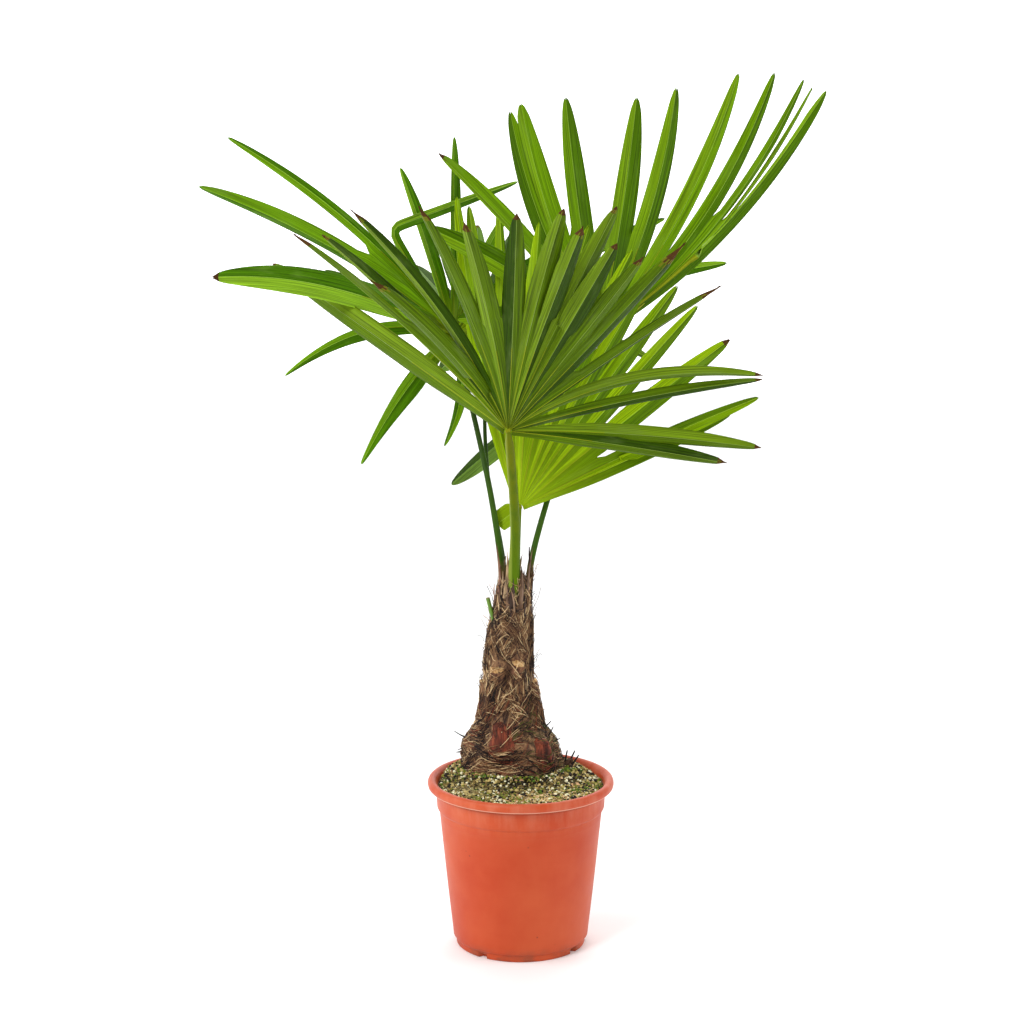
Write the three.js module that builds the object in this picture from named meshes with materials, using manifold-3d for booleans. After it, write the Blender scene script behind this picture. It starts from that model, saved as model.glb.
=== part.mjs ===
// Potted windmill palm: a young fan palm in a round nursery pot.
// Millimetres, +Z up. The origin is the centre of the pot's flat underside, X runs to the
// right as the plant is seen from the front, and -Y is the side that faces the viewer.
import * as THREE from "three";
import { mergeVertices } from "three/addons/utils/BufferGeometryUtils.js";
import Module from "manifold-3d";

const wasm = await Module();
wasm.setup();

// Driving dimensions
const clear = 0.3;            // air gap between neighbouring pieces

const potHeight = 221;
const rimRadius = 120;
const lipHeight = 10;
const potFootRadius = 83.5;
const potFootHeight = 9;
const bodyLowRadius = 87.5;   // body just above the foot's step
const bodyHighRadius = 105;   // body just below the collar's step
const collarZ = 183;
const collarRadius = 108;
const wall = 2.4;
const potSides = 48;
const notchTurns = [-35.5, 54.5, 144.5, 234.5];  // drainage notches in the foot, degrees
const notchWidth = 12;
const notchHeight = 5;
const notchDepth = 7;         // how far a notch cuts in from the foot's rim

const soilEdgeZ = 211;        // soil level at the pot's wall
const soilTopZ = 225;         // flat top of the mound that the trunk stands on
const moundSpread = 34;       // how far the mound runs out beyond the trunk's foot
const moundFlat = 4;          // flat ground left round the trunk's foot
const moundRings = [0.85, 0.7, 0.55, 0.4, 0.25, 0.1];  // rings of its surface, by the wall's radius

const trunkTopZ = 482;
const trunkSides = 22;
const trunkSteps = 15;
const trunkBase = { x: -8, y: 38 };
const trunkLean = { x: 1, y: -26 };   // shift of the top against the foot
const trunkSway = 8.5;         // bow of the trunk's middle to the left
// half widths of the trunk at shares of its height: flared foot, waist, shoulder, neck
const trunkTaper = [[0, 67], [0.13, 59], [0.2, 48], [0.27, 40], [0.36, 35], [0.56, 31], [0.74, 28],
  [0.86, 23], [1, 20]];
const trunkDepth = 0.78;      // the foot is narrower front to back than side to side
const trunkLumps = [0.05, 0.035];      // height of the slow and the quick lumps, by the radius

const petioleSteps = 9;
const petioleSides = 8;
const petioleUpright = 0.16;  // share of the rise to its bow that a petiole leaves straight up
const petioleTaper = [1.1, 0.76];      // width at the foot and at the hub

const bladeThick = 4.4;       // a hundredth of the longest leaflet
const foldRatio = 0.34;       // rise of a leaflet's rib against its half width
const ribStart = 5;           // leaflets start this far from the middle of the hub
const bladeStations = [0, 0.1, 0.22, 0.36, 0.52, 0.7, 0.88, 1];
const tipShare = 0.17;        // width of a leaflet's blunt tip against its widest
const creaseRoom = 0.06;      // a creased leaflet's next stations lie this far from the crease
const joinLimit = 4;          // leaflets share their edges up to this station at most
const sideShare = 0.93;       // most that a leaflet fills of the way to its neighbour

// Leaf fans. Each is seen from the front: bearings are degrees clockwise from straight up,
// reaches are hub to tip in the front plane, and lean gives how far the tip comes towards
// the viewer at some bearings, with straight runs between them, as arch (the bow of a leaflet
// against its length) and width do. Leaflets leave the hub partly at their own bearing and
// partly evenly over spread, by the share even; a bend gives a leaflet's own knee instead,
// and a crease the place where it is folded over.
// The petiole leaves the trunk's top at foot, bows towards bow, and carries the fan at hub.
const fans = [
  {
    name: "front", hub: [-16, -120, 694.5], foot: [-9, -6], bow: [-6, -45, 575],
    petiole: [13.5, 9], knob: 9, ribSide: 1, colour: 0x6f7f35, spread: [-58, 102], even: 0.5,
    bearings: [-58.5, -45.5, -41, -39, -32.5, -19, -10, 2, 12, 17, 22.5, 26, 33.5, 39.5, 52.5, 76, 78,
      94.5, 99.5],
    reaches: [350, 351, 328, 253, 334, 306, 279, 285, 297, 284, 315, 277, 277, 317, 312, 312, 313,
      310, 272],
    lean: [[-58.5, -185], [-45.5, 76], [-32.5, 151], [-10, 239], [17, 250], [52.5, 111], [76, 50],
      [78, 12], [99.5, -30]],
    arch: [[52.5, 0.05], [76, 0.095], [78, 0.04], [94.5, 0.02]],
    width: [[-58.5, 34], [-45.5, 26], [-32.5, 18], [-19, 26], [39.5, 27], [52.5, 21], [76, 19],
      [78, 15], [94.5, 22]],
    bends: { 0: [-60, 179, -136] },
  },
  {
    name: "right", hub: [101, 130, 778], foot: [11, 19], bow: [39, 70, 590],
    petiole: [8, 6], knob: 8.5, ribSide: -1, colour: 0x4f8f1f, spread: [-82, 115], even: 0.05,
    bearings: [-82, -57, -41, -22, -19, -8, 9.7, 18.2, 29, 34.6, 39.4, 41.4, 43.6, 70, 90, 115],
    reaches: [184, 262, 313, 306, 310, 304, 304, 329, 379, 404, 420, 419, 428, 62, 66, 76],
    lean: [[-82, 35], [-41, 35], [-22, -60], [10, -95], [29, -95], [44, -61], [70, -340],
      [90, -310], [115, 10]],
    arch: [[-41, 0.05], [-22, -0.12], [0, 0], [10, -0.14], [18, -0.165], [29, -0.11], [34, -0.125],
      [41, -0.1], [44, -0.065], [70, 0.02]],
    width: [[-57, 30], [-41, 32], [-22, 26], [10, 31], [18, 25], [34, 21], [39, 14], [41, 9],
      [43, 31], [70, 27]],
  },
  {
    name: "low", hub: [-2, 35, 568], foot: [-5, 14], bow: [-4, 16, 530],
    petiole: [8, 6], knob: 8.5, ribSide: -1, colour: 0x6fa51f, spread: [-35, 72], even: 0.5,
    bearings: [-135, -12, -10, -4, 4, 14, 24, 30, 36, 42, 52, 66, 67],
    reaches: [32, 392, 378, 377, 361, 367, 354, 322, 344, 341, 342, 336, 295],
    lean: [[-135, 0], [-12, -150], [-3, -150], [4, -50], [31, -60], [66, -40]],
    arch: [[36, 0.01], [52, 0.015], [66, 0.008]],
    width: [[-135, 18], [-12, 24], [36, 24], [42, 20], [52, 27], [66, 19]],
  },
  {
    name: "left", hub: [-87, 150, 775], foot: [-24.5, 16], bow: [-48, 50, 640],
    petiole: [8, 6], knob: 8.5, ribSide: -1, colour: 0x55962b, spread: [-150, 80], even: 0.4,
    bearings: [-175, -143, -100, -70, -57, -47, 23, -18, 0, 25, 56, 64, 78],
    reaches: [135, 194, 215, 304, 373, 383, 212, 225, 251, 158, 194, 314, 375],
    lean: [[-175, 15], [-143, 80], [-100, 110], [-70, 250], [-57, 130], [-47, 89], [-18, -39],
      [0, -84], [25, -140], [56, -160], [78, -150]],
    arch: [[-143, 0.048], [-100, 0.15], [-57, 0.09], [-47, 0.085], [0, 0.03]],
    width: [[-143, 20], [-100, 26], [-70, 34], [-57, 30], [-47, 13], [-18, 20], [0, 18], [23, 9],
      [25, 19], [78, 22]],
    bends: { 0: [172, 70, -14], 3: [-54, 178, 165] },
    creases: { 6: [-28, 160, 40] },
  },
  {
    name: "back", hub: [-46, 215, 746], foot: [-21, 27], bow: [-51, 72, 632],
    petiole: [6, 5], knob: 7, ribSide: -1, colour: 0x5f9f2a, spread: [-128, 120], even: 0.5,
    bearings: [-128, -91, -66, -50, -29, -6, 18, 41, 60, 79, 98, 195],
    reaches: [84, 123, 239, 134, 138, 141, 148, 158, 166, 160, 144, 173],
    lean: [[-128, -165], [-91, -215], [-66, -77], [-50, -252], [-6, -275], [41, -265],
      [98, -145], [195, 75]],
    arch: [[0, 0.04]],
    width: [[98, 25], [195, 30]],
    creases: { 11: [170, 130, -25] },
  },
];

// Cut leaf bases on the trunk: turn is degrees from the front towards +X, height is where
// the cut end lies, width is at the root.
const leafBases = [
  { turn: -28, height: 372, width: 36, rise: 62, lean: 7 },
  { turn: 22, height: 380, width: 32, rise: 56, lean: 6 },
  { turn: -84, height: 352, width: 34, rise: 60, lean: 2 },
  { turn: 82, height: 352, width: 34, rise: 62, lean: 2 },
  { turn: -12, height: 292, width: 44, rise: 54, lean: 8 },
  { turn: 46, height: 276, width: 42, rise: 44, lean: 9 },
  { turn: 150, height: 366, width: 36, rise: 62, lean: 7 },
  { turn: -150, height: 384, width: 34, rise: 60, lean: 6 },
  { turn: 178, height: 296, width: 44, rise: 56, lean: 8 },
];
const baseSteps = 4;
const baseStand = 3;          // how far a leaf base stands off the trunk at its root
const baseInset = 9;          // how deep its edges reach into the trunk
const baseTip = 0.5;          // width of its cut end against its root
const cutStub = { turn: -76, from: 424, to: 456, width: 9, lean: 8 };
const stubInset = 3;          // how deep the green stub's root sits in the trunk
const stubSides = 6;

// Ragged sheaths that stand round the petioles on the trunk's shoulder
const sheathInset = 2.5;
const sheathTip = 0.2;
const sheaths = [
  { turn: -54, height: 505, width: 22, rise: 64, lean: 1 },
  { turn: 52, height: 512, width: 20, rise: 70, lean: 1 },
  { turn: 140, height: 506, width: 20, rise: 62, lean: 1 },
];

// Small helpers
const rad = THREE.MathUtils.degToRad;
const up = new THREE.Vector3(0, 0, 1);

function readRun(stops, at) {
  // straight runs between [place, value] stops
  if (at <= stops[0][0]) return stops[0][1];
  for (let i = 1; i < stops.length; i += 1) {
    const [x0, y0] = stops[i - 1];
    const [x1, y1] = stops[i];
    if (at <= x1) return y0 + (y1 - y0) * (at - x0) / (x1 - x0);
  }
  return stops[stops.length - 1][1];
}

function smooth(t) {
  const s = Math.min(1, Math.max(0, t));
  return s * s * (3 - 2 * s);
}

function solidMaterial(colour, roughness) {
  return new THREE.MeshStandardMaterial({ color: colour, roughness, metalness: 0 });
}

function toManifold(geometry) {
  const plain = geometry.clone();
  plain.deleteAttribute("normal");
  plain.deleteAttribute("uv");
  const merged = mergeVertices(plain, 1e-4);
  return new wasm.Manifold(new wasm.Mesh({
    numProp: 3,
    vertProperties: new Float32Array(merged.attributes.position.array),
    triVerts: new Uint32Array(merged.index.array),
  }));
}

function fromManifold(solid) {
  const pieces = solid.decompose().sort((a, b) => b.volume() - a.volume());
  const mesh = pieces[0].getMesh();
  const geometry = new THREE.BufferGeometry();
  geometry.setAttribute("position", new THREE.BufferAttribute(mesh.vertProperties, 3));
  geometry.setIndex(new THREE.BufferAttribute(mesh.triVerts, 1));
  geometry.computeVertexNormals();
  return geometry;
}

function meshGeometry(points, triangles) {
  const geometry = new THREE.BufferGeometry();
  const flat = points.flatMap((p) => [p.x, p.y, p.z]);
  geometry.setAttribute("position", new THREE.Float32BufferAttribute(flat, 3));
  geometry.setIndex(triangles.flat());
  geometry.computeVertexNormals();
  return geometry;
}

function loftGeometry(rings) {
  // a closed solid through rings of points, each ring counter-clockwise seen from its far end
  const points = rings.flat();
  const sides = rings[0].length;
  const triangles = [];
  for (let r = 0; r + 1 < rings.length; r += 1) {
    for (let s = 0; s < sides; s += 1) {
      const a = r * sides + s;
      const b = r * sides + (s + 1) % sides;
      triangles.push([a, b, b + sides], [a, b + sides, a + sides]);
    }
  }
  for (const [ring, order] of [[0, -1], [rings.length - 1, 1]]) {
    const middle = points.length;
    const centre = new THREE.Vector3();
    for (const p of rings[ring]) centre.addScaledVector(p, 1 / sides);
    points.push(centre);
    for (let s = 0; s < sides; s += 1) {
      const a = ring * sides + s;
      const b = ring * sides + (s + 1) % sides;
      triangles.push(order > 0 ? [middle, a, b] : [middle, b, a]);
    }
  }
  return meshGeometry(points, triangles);
}

// Pot: a turned shell with a rolled lip, a collar and a notched foot
function potProfile() {
  const lipLow = potHeight - lipHeight;
  const innerLow = bodyLowRadius - wall;
  return [
    [0, 0], [potFootRadius - 1, 0], [potFootRadius, 1.5], [potFootRadius, potFootHeight],
    [bodyLowRadius, potFootHeight + 3], [bodyHighRadius, collarZ - 2],
    [collarRadius, collarZ + 1], [collarRadius + 1.5, lipLow - 2],
    [rimRadius - 2, lipLow - 1], [rimRadius, lipLow + 3], [rimRadius - 0.5, potHeight - 3],
    [rimRadius - 3.5, potHeight], [collarRadius + 4, potHeight - 1],
    [collarRadius + 1.5 - wall, potHeight - 5], [collarRadius - wall, collarZ + 1],
    [innerLow, potFootHeight + 3], [innerLow - 4, wall * 2], [0, wall * 2],
  ].map(([x, y]) => new THREE.Vector2(x, y));
}

function makePot() {
  const shell = new THREE.LatheGeometry(potProfile(), potSides);
  shell.rotateX(Math.PI / 2);
  let solid = toManifold(shell);
  for (const turn of notchTurns) {
    const notch = new THREE.BoxGeometry(notchWidth, notchDepth * 2, notchHeight * 2);
    notch.translate(0, -potFootRadius, 0);
    notch.rotateZ(rad(turn));
    solid = solid.subtract(toManifold(notch));
  }
  return fromManifold(solid);
}

// Trunk: a lumpy tapering post, flared at the foot and leaning a little forward
function trunkMiddle(share) {
  return {
    x: trunkBase.x + trunkLean.x * share - trunkSway * Math.sin(Math.PI * share ** 0.8),
    y: trunkBase.y + trunkLean.y * share,
  };
}

function trunkRadius(share, angle) {
  const [slow, quick] = trunkLumps;
  const lumps = slow * Math.sin(3 * angle + 9 * share) + quick * Math.sin(5 * angle - 17 * share);
  return readRun(trunkTaper, share) * (1 + lumps * (1 - 0.6 * share));
}

function trunkPoint(share, angle, grow) {
  const middle = trunkMiddle(share);
  const radius = trunkRadius(share, angle) + grow;
  const deep = trunkDepth + (1 - trunkDepth) * smooth(share * 2.2);
  const foot = soilTopZ + clear;
  return new THREE.Vector3(
    middle.x + radius * Math.sin(angle),
    middle.y - radius * deep * Math.cos(angle),
    foot + (trunkTopZ - foot) * share,
  );
}

function makeTrunk(grow) {
  const rings = [];
  for (let step = 0; step <= trunkSteps; step += 1) {
    const share = step / trunkSteps;
    const ring = [];
    for (let side = 0; side < trunkSides; side += 1) {
      ring.push(trunkPoint(share, side / trunkSides * 2 * Math.PI, grow));
    }
    rings.push(ring);
  }
  return loftGeometry(rings);
}

// Soil: fills the pot to its wall and rises in a mound to the flat under the trunk
function soilHeight(x, y) {
  const dx = (x - trunkBase.x) / (trunkTaper[0][1] + moundFlat);
  const dy = (y - trunkBase.y) / (trunkTaper[0][1] * trunkDepth + moundFlat);
  const beyond = (Math.hypot(dx, dy) - 1) * trunkTaper[0][1];
  return soilTopZ - (soilTopZ - soilEdgeZ) * smooth(beyond / moundSpread);
}

function makeSoil() {
  const wallAt = (z) => readRun([[potFootHeight + 3, bodyLowRadius - wall],
    [collarZ + 1, collarRadius - wall], [potHeight - 5, collarRadius + 1.5 - wall]], z) - clear;
  const level = (radius, height) => {
    const ring = [];
    for (let side = 0; side < potSides; side += 1) {
      const angle = side / potSides * 2 * Math.PI;
      const x = radius * Math.sin(angle);
      const y = -radius * Math.cos(angle);
      ring.push(new THREE.Vector3(x, y, height ?? soilHeight(x, y)));
    }
    return ring;
  };
  const low = potFootHeight + 3;
  const rings = [level(wallAt(low), low), level(wallAt(collarZ + 1), collarZ + 1),
    level(wallAt(soilEdgeZ), soilEdgeZ)];
  for (const share of moundRings) rings.push(level(wallAt(soilEdgeZ) * share));
  return loftGeometry(rings);
}

// Petiole: a flattened stalk that leaves the trunk's top upright and bends to its fan
function petioleCurve(fan) {
  const base = trunkTopZ + clear;
  const foot = new THREE.Vector3(fan.foot[0], fan.foot[1], base);
  const hub = new THREE.Vector3(...fan.hub);
  const bow = new THREE.Vector3(...fan.bow);
  const rise = (bow.z - base) * petioleUpright;
  const upright = foot.clone().addScaledVector(up, rise);
  const path = new THREE.CurvePath();
  const half = upright.clone().lerp(bow, 0.5);
  path.add(new THREE.QuadraticBezierCurve3(foot, upright, half));
  path.add(new THREE.QuadraticBezierCurve3(half, bow, hub));
  return path;
}

function makePetiole(fan) {
  const path = petioleCurve(fan);
  const whole = path.getLength();
  const end = 1 - (fan.knob + clear) / whole;   // stops just short of the hub
  const [wide, deep] = fan.petiole;
  const rings = [];
  for (let step = 0; step <= petioleSteps; step += 1) {
    const share = step / petioleSteps * end;
    const at = path.getPointAt(share);
    const along = path.getTangentAt(share);
    const across = new THREE.Vector3(1, 0, 0).addScaledVector(along, -along.x).normalize();
    const out = new THREE.Vector3().crossVectors(along, across);
    const taper = petioleTaper[0] + (petioleTaper[1] - petioleTaper[0]) * share;
    const ring = [];
    for (let side = 0; side < petioleSides; side += 1) {
      const angle = (side + 0.5) / petioleSides * 2 * Math.PI;
      ring.push(at.clone()
        .addScaledVector(across, wide / 2 * taper * Math.cos(angle))
        .addScaledVector(out, deep / 2 * taper * Math.sin(angle)));
    }
    rings.push(ring);
  }
  return loftGeometry(rings);
}

// Blade: leaflets that share their edges near the hub, pleated, and part further out
function bearingVector(bearing, reach, toward) {
  return new THREE.Vector3(reach * Math.sin(rad(bearing)), -toward, reach * Math.cos(rad(bearing)));
}

function creasedLeaflet(hub, crease, chord, width) {
  // two straight runs; the crease gets a station of its own, with one close to each side
  const path = new THREE.CurvePath();
  const corner = hub.clone().add(crease);
  path.add(new THREE.LineCurve3(hub, corner));
  path.add(new THREE.LineCurve3(corner, hub.clone().add(chord)));
  const length = path.getLength();
  const share = crease.length() / length;
  const stations = bladeStations.slice();
  stations.splice(3, 3, share - creaseRoom, share, share + creaseRoom);
  stations.sort((a, b) => a - b);
  return { curve: path, length, width, leaving: crease.clone().normalize(), crease: share, stations };
}

function leafletCurves(fan) {
  const hub = new THREE.Vector3(...fan.hub);
  const last = fan.bearings.length - 1;
  return fan.bearings.map((bearing, i) => {
    const even = fan.spread[0] + (fan.spread[1] - fan.spread[0]) * i / last;
    const toward = readRun(fan.lean, bearing);
    const chord = bearingVector(bearing, fan.reaches[i], toward);
    const length = chord.length();
    const knee = hub.clone();
    const crease = fan.creases?.[i];
    if (crease) return creasedLeaflet(hub, bearingVector(...crease), chord, readRun(fan.width, bearing));
    const bend = fan.bends?.[i];
    if (bend) {
      knee.add(bearingVector(...bend));
    } else {
      const start = bearing + (even - bearing) * fan.even;
      const leaving = bearingVector(start, fan.reaches[i], toward).normalize();
      const lift = up.clone().addScaledVector(chord, -chord.z / length ** 2);
      const arch = readRun(fan.arch, bearing);
      knee.addScaledVector(leaving, length * 0.48).addScaledVector(lift, 2 * arch * length);
    }
    return {
      curve: new THREE.QuadraticBezierCurve3(hub, knee, hub.clone().add(chord)),
      length,
      width: readRun(fan.width, bearing),
      leaving: knee.clone().sub(hub).normalize(),
      stations: bladeStations,
    };
  });
}

function leafWidth(share) {
  // broad over the middle, drawn in to a blunt tip
  if (share < 0.4) return 0.45 + 0.55 * smooth(share / 0.4);
  return tipShare + (1 - tipShare) * (1 - Math.max(0, (share - 0.45) / 0.55) ** 2.1);
}

function fanStations(fan) {
  const leaflets = leafletCurves(fan);
  const last = leaflets.length - 1;
  leaflets.forEach((leaflet, i) => {
    const before = leaflets[Math.max(0, i - 1)].leaving;
    const after = leaflets[Math.min(last, i + 1)].leaving;
    const turn = after.clone().sub(before);
    leaflet.face = new THREE.Vector3().crossVectors(turn, leaflet.leaving).normalize();
    const start = ribStart / leaflet.length;
    leaflet.stations = leaflet.stations.map((station) => {
      const share = station === leaflet.crease ? station : start + (1 - start) * station;
      const at = leaflet.curve.getPoint(share);
      const along = leaflet.curve.getTangent(share);
      const across = new THREE.Vector3().crossVectors(along, leaflet.face).normalize();
      const face = new THREE.Vector3().crossVectors(across, along).normalize();
      const mitre = station === leaflet.crease ? 1 / along.dot(leaflet.leaving) : 1;
      return { at, across, face, half: leaflet.width / 2 * leafWidth(share) * mitre };
    });
  });
  return leaflets;
}

function makeBlade(fan) {
  const leaflets = fanStations(fan);
  const points = [];
  const faces = [];
  const triangles = [];
  const rim = [];
  const put = (at, face) => {
    points.push(at);
    faces.push(face);
    return points.length - 1;
  };
  const quad = (a, b, c, d) => triangles.push([a, b, c], [a, c, d]);
  // room for each side of each leaflet, and how far it is joined to its neighbour
  const sideRoom = (i, j, k) => {
    if (!leaflets[j]) return Infinity;
    return leaflets[i].stations[k].at.distanceTo(leaflets[j].stations[k].at) / 2;
  };
  const joined = leaflets.map((leaflet, i) => {
    if (!leaflets[i + 1]) return -1;
    let k = 1;
    while (k < joinLimit && sideRoom(i, i + 1, k + 1) < leaflet.stations[k + 1].half) k += 1;
    return k;
  });
  let shared = null;
  leaflets.forEach((leaflet, i) => {
    const left = [];
    const right = [];
    const rib = [];
    leaflet.stations.forEach(({ at, across, face, half }, k) => {
      const halfLeft = Math.min(half, sideRoom(i, i - 1, k) * sideShare);
      const halfRight = Math.min(half, sideRoom(i, i + 1, k) * sideShare);
      const fold = fan.ribSide * foldRatio * Math.min(halfLeft, halfRight, half);
      rib.push(put(at.clone().addScaledVector(face, fold / 2), face));
      if (shared && k <= joined[i - 1]) {
        left.push(shared[k]);
      } else {
        left.push(put(at.clone().addScaledVector(across, -halfLeft)
          .addScaledVector(face, -fold / 2), face));
      }
      if (k <= joined[i]) {
        const next = leaflets[i + 1].stations[k];
        const both = face.clone().add(next.face).normalize();
        right.push(put(at.clone().lerp(next.at, 0.5).addScaledVector(both, -fold / 2), both));
      } else {
        right.push(put(at.clone().addScaledVector(across, halfRight)
          .addScaledVector(face, -fold / 2), face));
      }
    });
    const end = leaflet.stations.length - 1;
    for (let k = 0; k < end; k += 1) {
      quad(left[k], rib[k], rib[k + 1], left[k + 1]);
      quad(rib[k], right[k], right[k + 1], rib[k + 1]);
      if (!(shared && k + 1 <= joined[i - 1])) rim.push([left[k], left[k + 1]]);
      if (!(k + 1 <= joined[i])) rim.push([right[k + 1], right[k]]);
    }
    rim.push([rib[0], left[0]], [right[0], rib[0]], [left[end], rib[end]], [rib[end], right[end]]);
    shared = right;
  });
  // thicken: the front skin, the back skin turned over, and a wall along the rim
  const count = points.length;
  const solid = [];
  for (const side of [0.5, -0.5]) {
    points.forEach((at, n) => solid.push(at.clone().addScaledVector(faces[n], side * bladeThick)));
  }
  const skins = [];
  for (const [a, b, c] of triangles) skins.push([a, b, c], [a + count, c + count, b + count]);
  for (const [a, b] of rim) skins.push([a, b, b + count], [a, b + count, a + count]);
  const sheet = toManifold(meshGeometry(solid, skins));
  const knob = new THREE.IcosahedronGeometry(fan.knob, 1);
  knob.translate(...fan.hub);
  return fromManifold(sheet.add(toManifold(knob)));
}

// Leaf bases: the cut ends of old petioles, broad at the root and hugging the trunk. A
// sheath is a thinner one, drawn out to a point.
function makeLeafBase({ turn, height, width, rise, lean }, inset, tip, grownTrunk) {
  const angle = rad(turn);
  const foot = soilTopZ + clear;
  const outward = new THREE.Vector3(Math.sin(angle), -Math.cos(angle), 0);
  const across = new THREE.Vector3(Math.cos(angle), Math.sin(angle), 0);
  const rings = [];
  for (let step = 0; step <= baseSteps; step += 1) {
    const share = step / baseSteps;
    const z = height - rise * (1 - share);
    const at = trunkPoint((z - foot) / (trunkTopZ - foot), angle, 0);
    const half = width / 2 * (1 - (1 - tip) * smooth(share));
    const stand = baseStand + lean * share;
    const corner = (side, out) => at.clone()
      .addScaledVector(across, side * half).addScaledVector(outward, out);
    rings.push([corner(-1, -inset), corner(-0.55, stand * 0.8), corner(0, stand),
      corner(0.55, stand * 0.8), corner(1, -inset)]);
  }
  return fromManifold(toManifold(loftGeometry(rings)).subtract(grownTrunk));
}

// Green stub of a leaf cut off close to the trunk's shoulder
function makeCutStub(grownTrunk) {
  const angle = rad(cutStub.turn);
  const outward = new THREE.Vector3(Math.sin(angle), -Math.cos(angle), 0);
  const across = new THREE.Vector3(Math.cos(angle), Math.sin(angle), 0);
  const foot = soilTopZ + clear;
  const rings = [0, 0.5, 1].map((share) => {
    const z = cutStub.from + (cutStub.to - cutStub.from) * share;
    const at = trunkPoint((cutStub.from - foot) / (trunkTopZ - foot), angle, 0);
    at.z = z;
    at.addScaledVector(outward, cutStub.lean * share - stubInset);
    const ring = [];
    for (let side = 0; side < stubSides; side += 1) {
      const around = side / stubSides * 2 * Math.PI;
      ring.push(at.clone()
        .addScaledVector(across, cutStub.width / 2 * Math.cos(around))
        .addScaledVector(outward, -cutStub.width / 3 * Math.sin(around)));
    }
    return ring;
  });
  return fromManifold(toManifold(loftGeometry(rings)).subtract(grownTrunk));
}

// Assembly
const palm = new THREE.Group();

function addPiece(name, geometry, colour, roughness) {
  const mesh = new THREE.Mesh(geometry, solidMaterial(colour, roughness));
  mesh.name = name;
  palm.add(mesh);
}

addPiece("pot", makePot(), 0xc65a33, 0.55);
addPiece("soil", makeSoil(), 0x5d5a34, 0.95);
addPiece("trunk", makeTrunk(0), 0x5a4430, 0.95);
const grownTrunk = toManifold(makeTrunk(clear));
leafBases.forEach((base, i) => {
  addPiece(`leaf_base_${i + 1}`, makeLeafBase(base, baseInset, baseTip, grownTrunk), 0x8a6a45, 0.9);
});
sheaths.forEach((sheath, i) => {
  addPiece(`sheath_${i + 1}`, makeLeafBase(sheath, sheathInset, sheathTip, grownTrunk), 0x6e5236, 0.95);
});
addPiece("cut_stub", makeCutStub(grownTrunk), 0x5c7a22, 0.7);
for (const fan of fans) {
  addPiece(`petiole_${fan.name}`, makePetiole(fan), 0x7d9a35, 0.5);
  addPiece(`blade_${fan.name}`, makeBlade(fan), fan.colour, 0.55);
}

export default palm;
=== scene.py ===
# Potted windmill palm: the looks. Sizes in the settings are millimetres, and every mesh is
# brought to metres when it is finished.
import math
import random

import bmesh
import bpy
from mathutils import Matrix, Vector, noise


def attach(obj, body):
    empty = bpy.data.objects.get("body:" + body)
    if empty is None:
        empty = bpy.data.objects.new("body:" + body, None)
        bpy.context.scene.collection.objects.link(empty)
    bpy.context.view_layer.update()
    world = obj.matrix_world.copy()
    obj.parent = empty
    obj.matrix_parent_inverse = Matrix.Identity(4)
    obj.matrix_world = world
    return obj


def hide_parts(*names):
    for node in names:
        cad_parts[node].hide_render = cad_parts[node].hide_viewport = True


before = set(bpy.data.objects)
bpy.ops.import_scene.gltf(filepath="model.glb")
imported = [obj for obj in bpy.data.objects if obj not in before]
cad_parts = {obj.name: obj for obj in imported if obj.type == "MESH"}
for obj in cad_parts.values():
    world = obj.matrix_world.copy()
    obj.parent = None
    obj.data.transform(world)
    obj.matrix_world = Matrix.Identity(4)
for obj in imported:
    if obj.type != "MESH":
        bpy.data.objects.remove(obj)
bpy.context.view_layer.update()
scene = bpy.context.scene
clear = 0.3  # the gap that every joint leaves


# Small helpers for shapes

def smoothStep(t):
    s = min(1, max(0, t))
    return s * s * (3 - 2 * s)


def readRun(stops, at):
    # straight runs between (place, value) stops
    if at <= stops[0][0]:
        return stops[0][1]
    for (x0, y0), (x1, y1) in zip(stops, stops[1:]):
        if at <= x1:
            return y0 + (y1 - y0) * (at - x0) / (x1 - x0)
    return stops[-1][1]


def bezier(a, b, c, t):
    return a * (1 - t) ** 2 + b * 2 * t * (1 - t) + c * t * t


def bezierTangent(a, b, c, t):
    return ((b - a) * (1 - t) + (c - b) * t).normalized()


def finishPiece(bm, name, materials, nodes, smooth=True):
    # from millimetres to metres, and on to the frame
    bmesh.ops.scale(bm, vec=(0.001, 0.001, 0.001), verts=bm.verts)
    for face in bm.faces:
        face.smooth = smooth
    mesh = bpy.data.meshes.new(name)
    bm.to_mesh(mesh)
    bm.free()
    for material in materials:
        mesh.materials.append(material)
    piece = bpy.data.objects.new(name, mesh)
    scene.collection.objects.link(piece)
    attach(piece, "root")
    if nodes:
        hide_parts(*nodes)
    print(name, len(mesh.polygons), "faces")


scratch = bpy.data.meshes.new("scratch")


def pour(bm, part, tint=None):
    # adds one small shape to a large one, in one of its materials where a tint is given
    if tint is not None:
        for face in part.faces:
            face.material_index = tint
    part.to_mesh(scratch)
    bm.from_mesh(scratch)
    part.free()


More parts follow.
